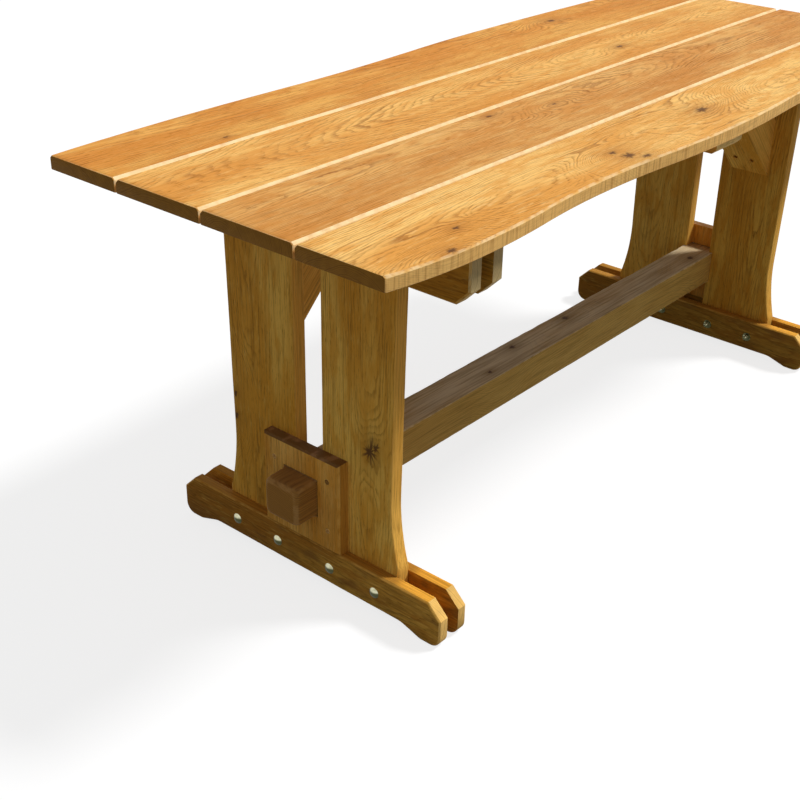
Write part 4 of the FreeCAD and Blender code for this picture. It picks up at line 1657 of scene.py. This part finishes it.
PLANK_ROWS = (-0.271, -0.0945, 0.0945, 0.271)
BRACE_ROWS = (0.082, 0.122)
BOLT_SETS = (
    BoltSet("foot", 0.035, 0.046, (-0.169, -0.064, 0.064, 0.169)),
    BoltSet("cleat", 0.039, 0.681, (-0.160, -0.070, 0.070, 0.160)),
)
SCREW_SETS = (
    ScrewSet(
        "collar_screws", 0.039, True, (0.709,), (-0.063, 0.063), (0.126, 0.226), (Axis.RIGHT, Axis.LEFT),
    ),
    ScrewSet("plank_screws", 0.070, False, (0.6985, 0.6455), PLANK_ROWS, (0.672,)),
    ScrewSet("batten_screws", 0.036, True, (0.025,), PLANK_ROWS, (0.706,)),
    ScrewSet("brace_foot_screws", 0.038, False, (0.636,), BRACE_ROWS, (0.478,), (Axis.LEFT, Axis.RIGHT)),
    ScrewSet("brace_head_screws", 0.038, False, (0.410,), BRACE_ROWS, (0.704,)),
)


@dataclass
class Hardware:
    """Carriage bolts with washers and nuts, and screws with a cross recess."""

    nodes: dict[str, bpy.types.Object]
    head_radius: float = 0.0103
    head_height: float = 0.0049
    rim_share: float = 0.97
    dome_start: float = 0.05
    dome_steps: int = 8
    shank_radius: float = 0.004
    thread_pitch: float = 0.00125
    thread_depth: float = 0.0006
    thread_steps: int = 6
    threaded: float = 0.013
    tail: float = 0.006
    tail_bevel: Pair = (0.0004, 0.0005)
    washer: float = 0.0016
    nut_width: float = 0.013
    nut_height: float = 0.0065
    nut_slope: float = math.tan(math.radians(30))
    screw_shank: float = 0.0025
    screw_head: float = 0.005
    screw_head_height: float = 0.0032
    screw_point: float = 0.006
    screw_tip: float = 0.0002
    flat_profile: tuple[Pair, ...] = ((0.0, 0.96), (0.0625, 1.0))
    pan_profile: tuple[Pair, ...] = ((-1.0, 0.8), (-0.75, 0.95), (-0.5, 1.0), (0.0, 1.0))
    recess_rings: tuple[float, ...] = (0.0003, 0.0007, 0.0012, 0.0018, 0.0024, 0.0026, 0.0028)
    recess_reach: float = 0.0027
    recess_half_width: float = 0.0007
    recess_depth: float = 0.0013
    recess_slope: float = 0.3
    recess_turns: float = 91.0
    round_steps: int = 24
    nut_steps: int = 48

    def build(self) -> None:
        """Build the bolts, the nuts and the screws, and dress the washers."""
        zinc, yellow = ZINC.material(), SCREW.material()
        for bolts in BOLT_SETS:
            self.build_bolts(bolts, zinc)
            self.build_nuts(bolts, zinc)
            dress_node(self.nodes[f"{bolts.joint}_washers"], zinc)
        for screws in SCREW_SETS:
            maker = MeshMaker()
            for seat, axis in screws.seats():
                self.add_screw(maker, seat, axis, screws.length, screws.countersunk)
            maker.make(f"{screws.node}_turned", "screw_steel", yellow, screws.node)

    def build_bolts(self, bolts: BoltSet, material: bpy.types.Material) -> None:
        """Build dome-headed bolts with threaded tails.

        Args:
            bolts: The bolts of one joint.
            material: Their finish.
        """
        length = 2 * bolts.clamp + self.washer + self.nut_height + self.tail
        ball = (self.head_radius ** 2 + self.head_height ** 2) / (2 * self.head_height)
        widest = math.asin(self.head_radius / ball)
        rows = []
        for step in range(self.dome_steps + 1):
            angle = widest * (self.dome_start + (1 - self.dome_start) * step / self.dome_steps)
            rows.append(turned_row(-self.head_height + ball * (1 - math.cos(angle)), ball * math.sin(angle)))
        start = length - self.threaded
        rows += [turned_row(0.0, self.head_radius * self.rim_share), turned_row(0.0, self.shank_radius)]
        rows.append(turned_row(start - self.thread_pitch, self.shank_radius))
        count = round((self.threaded - self.thread_pitch) / self.thread_pitch * self.thread_steps)
        rise = self.thread_pitch / self.thread_steps
        rows += [self.thread_row(start + rise * index) for index in range(count)]
        root = self.shank_radius - self.thread_depth
        bevel_length, bevel_depth = self.tail_bevel
        rows += [turned_row(length - bevel_length, root), turned_row(length, root - bevel_depth)]
        maker = MeshMaker()
        for seat, axis in bolts.seats(TRESTLE_MIDDLE + bolts.clamp):
            maker.close(turn_piece(maker, seat, axis, rows, self.round_steps))
        maker.make(f"{bolts.joint}_bolts_turned", "zinc_steel", material, f"{bolts.joint}_bolts")

    def thread_row(self, along: float) -> Row:
        """Give one row of a screw thread, a ridge that climbs once round in each pitch.

        Args:
            along: The place of the row.

        Returns:
            The row.
        """
        def at(angle: float) -> Pair:
            """Give along and radius at an angle."""
            phase = (along / self.thread_pitch - angle / math.tau) % 1.0
            return along, self.shank_radius - self.thread_depth * abs(2 * phase - 1)
        return at

    def nut_radius(self, angle: float) -> float:
        """Give how far a nut's six flats reach at an angle."""
        return self.nut_width / 2 / math.cos(angle % (math.pi / 3) - math.pi / 6)

    def build_nuts(self, bolts: BoltSet, material: bpy.types.Material) -> None:
        """Build hexagon nuts with turned ends.

        Args:
            bolts: The bolts that they are on.
            material: Their finish.
        """
        rim = self.nut_width / 2 * self.rim_share

        def flat_row(level: float, sense: int) -> Row:
            """Give the row where the flats meet a turned end.

            Args:
                level: The level of that end.
                sense: 1 for the lower end, -1 for the upper one.

            Returns:
                The row.
            """
            def at(angle: float) -> Pair:
                """Give along and radius at an angle."""
                radius = self.nut_radius(angle)
                return level + sense * (radius - rim) * self.nut_slope, radius
            return at

        rows = [
            turned_row(0.0, self.shank_radius), turned_row(0.0, rim), flat_row(0.0, 1),
            flat_row(self.nut_height, -1), turned_row(self.nut_height, rim),
            turned_row(self.nut_height, self.shank_radius),
        ]
        maker = MeshMaker()
        for seat, axis in bolts.seats(TRESTLE_MIDDLE - bolts.clamp - self.washer):
            belts = turn_piece(maker, seat, axis, rows, self.nut_steps)
            maker.belt(belts[-1], belts[0])
        maker.make(f"{bolts.joint}_nuts_turned", "zinc_steel", material, f"{bolts.joint}_nuts")

    def recess_row(self, top: float, radius: float, turn: float) -> Row:
        """Give one row of a screw head's top, sunk where it crosses the recess.

        Args:
            top: The level of the head's top.
            radius: The row's radius.
            turn: How far the recess is turned.

        Returns:
            The row.
        """
        def at(angle: float) -> Pair:
            """Sink the row into the recess.

            Args:
                angle: The angle round the screw.

            Returns:
                Along and radius at that angle.
            """
            arm = radius * min(abs(math.cos(angle - turn)), abs(math.sin(angle - turn)))
            sunk = arm < self.recess_half_width and radius < self.recess_reach
            depth = self.recess_depth * (1 - self.recess_slope * radius / self.recess_reach)
            return top + (depth if sunk else 0.0), radius
        return at

    def add_screw(
        self, maker: MeshMaker, seat: Triple, axis: Axis, length: float, countersunk: bool,
    ) -> None:
        """Add one screw.

        Args:
            maker: Takes the points and faces.
            seat: Where the flat of a countersunk head or the underside of a pan head lies.
            axis: The way that it is driven.
            length: The length below the seat.
            countersunk: Whether the head is countersunk.
        """
        turn = math.pi * noise.noise(Vector(seat) * self.recess_turns)
        profile = self.flat_profile if countersunk else self.pan_profile
        height, head = self.screw_head_height, self.screw_head
        top = profile[0][0] * height
        rows = [self.recess_row(top, radius, turn) for radius in self.recess_rings]
        rows += [turned_row(level * height, width * head) for level, width in profile]
        neck = height if countersunk else 0.0
        rows += [turned_row(along, self.screw_shank) for along in (neck, length - self.screw_point)]
        rows.append(turned_row(length, self.screw_tip))
        maker.close(turn_piece(maker, seat, axis, rows, self.nut_steps))


@dataclass
class Studio:
    """A plain pale floor, soft light from the front right, and the camera of the photograph."""

    floor_reach: float = 20.0
    floor_tone: float = 0.25
    floor_glow: float = 0.79
    bounce_tone: float = 0.25
    sky: float = 0.23
    key_strength: float = 2.85
    key_softness: float = math.radians(11)
    key_way: Triple = (0.50, -0.35, 0.80)
    fill_strength: float = 0.22
    fill_softness: float = math.radians(110)
    fill_way: Triple = (0.0, -0.1, 1.0)
    lens: float = 58.965
    sensor: float = 36.0
    eye: Triple = (-2.0588, -1.3584, 1.4202)
    azimuth: float = math.radians(-49.883)
    elevation: float = math.radians(28.962)
    roll: float = math.radians(1.058)

    def build(self) -> None:
        """Set up the floor, the light and the camera."""
        scene = bpy.context.scene
        scene.view_settings.view_transform = "Standard"
        self.build_floor()
        self.build_sky(scene)
        self.build_lamp("key", self.key_strength, self.key_softness, self.key_way)
        self.build_lamp("fill", self.fill_strength, self.fill_softness, self.fill_way)
        self.build_camera(scene)

    def seen(self, graph: Graph) -> Socket:
        """Tell rays that show the background from those that light the table.

        Args:
            graph: The graph of the floor or the sky.

        Returns:
            1 for a ray that shows the background, 0 for one that lights the table.
        """
        path = graph.add("LightPath").outputs
        mirrored = graph.math("ADD", path["Is Glossy Ray"], path["Is Transmission Ray"])
        return graph.math("MINIMUM", graph.math("ADD", path["Is Camera Ray"], mirrored), 1.0)

    def build_floor(self) -> None:
        """Lay the floor: nearly white where it is seen, and still holding the shadow."""
        reach = self.floor_reach
        corners = [(-reach, -reach, 0), (reach, -reach, 0), (reach, reach, 0), (-reach, reach, 0)]
        mesh = bpy.data.meshes.new("floor")
        mesh.from_pydata(corners, [], [(0, 1, 2, 3)])
        floor = add_object("floor", mesh)
        material = bpy.data.materials.new("pale_floor")
        graph = fresh_graph(material)
        matt = graph.add("BsdfDiffuse")
        matt.inputs["Color"].default_value = (self.floor_tone,) * 3 + (1.0,)
        glow = graph.add("Emission")
        glow.inputs["Strength"].default_value = self.floor_glow
        shown = graph.add("AddShader")
        graph.feed(shown.inputs[0], matt.outputs[0])
        graph.feed(shown.inputs[1], glow.outputs[0])
        bounce = graph.add("BsdfDiffuse")
        bounce.inputs["Color"].default_value = (self.bounce_tone,) * 3 + (1.0,)
        chosen = graph.add("MixShader")
        graph.feed(chosen.inputs[0], self.seen(graph))
        graph.feed(chosen.inputs[1], bounce.outputs[0])
        graph.feed(chosen.inputs[2], shown.outputs[0])
        graph.show(chosen)
        mesh.materials.append(material)

    def build_sky(self, scene: bpy.types.Scene) -> None:
        """Fill the room with even light, and show white behind the floor.

        Args:
            scene: The scene to light.
        """
        scene.world = bpy.data.worlds.new("studio")
        graph = fresh_graph(scene.world)
        back = graph.add("Background")
        back.inputs["Color"].default_value = WHITE
        level = graph.math("MULTIPLY_ADD", self.seen(graph), 1.0 - self.sky, self.sky)
        graph.feed(back.inputs["Strength"], level)
        graph.show(back, "OutputWorld")

    def build_lamp(self, name: str, strength: float, softness: float, way: Triple) -> None:
        """Hang one distant lamp.

        Args:
            name: The lamp's name.
            strength: How bright it is.
            softness: The angle that it is seen under.
            way: The direction in which it lies.
        """
        light = bpy.data.lights.new(name, "SUN")
        light.energy = strength
        light.angle = softness
        lamp = add_object(name, light)
        lamp.rotation_euler = Vector(way).to_track_quat("Z", "Y").to_euler()

    def build_camera(self, scene: bpy.types.Scene) -> None:
        """Stand the camera where the photograph was taken.

        Args:
            scene: The scene to show.
        """
        data = bpy.data.cameras.new("camera")
        data.sensor_width = self.sensor
        data.lens = self.lens
        back = Vector((
            math.sin(self.azimuth) * math.cos(self.elevation),
            -math.cos(self.azimuth) * math.cos(self.elevation),
            math.sin(self.elevation),
        ))
        right = Vector(UPWARD).cross(back).normalized()
        above = back.cross(right)
        turned_right = math.cos(self.roll) * right + math.sin(self.roll) * above
        turned_above = math.cos(self.roll) * above - math.sin(self.roll) * right
        turn = Matrix((turned_right, turned_above, back)).transposed().to_4x4()
        camera = add_object("camera", data)
        camera.matrix_world = Matrix.Translation(self.eye) @ turn
        scene.camera = camera


def main() -> None:
    """Load the frame, build and dress each sub-assembly and set up the studio."""
    logging.basicConfig(level=logging.INFO, format="%(message)s")
    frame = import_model()
    nodes = frame["nodes"]
    timber = Timber()
    TableTop(timber, nodes).build()
    for side, seed in (("left", 10), ("right", 20)):
        Trestle(timber, nodes, side, seed).build()
    Stretcher(timber).build()
    Hardware(nodes).build()
    Studio().build()


if __name__ == "__main__":
    main()
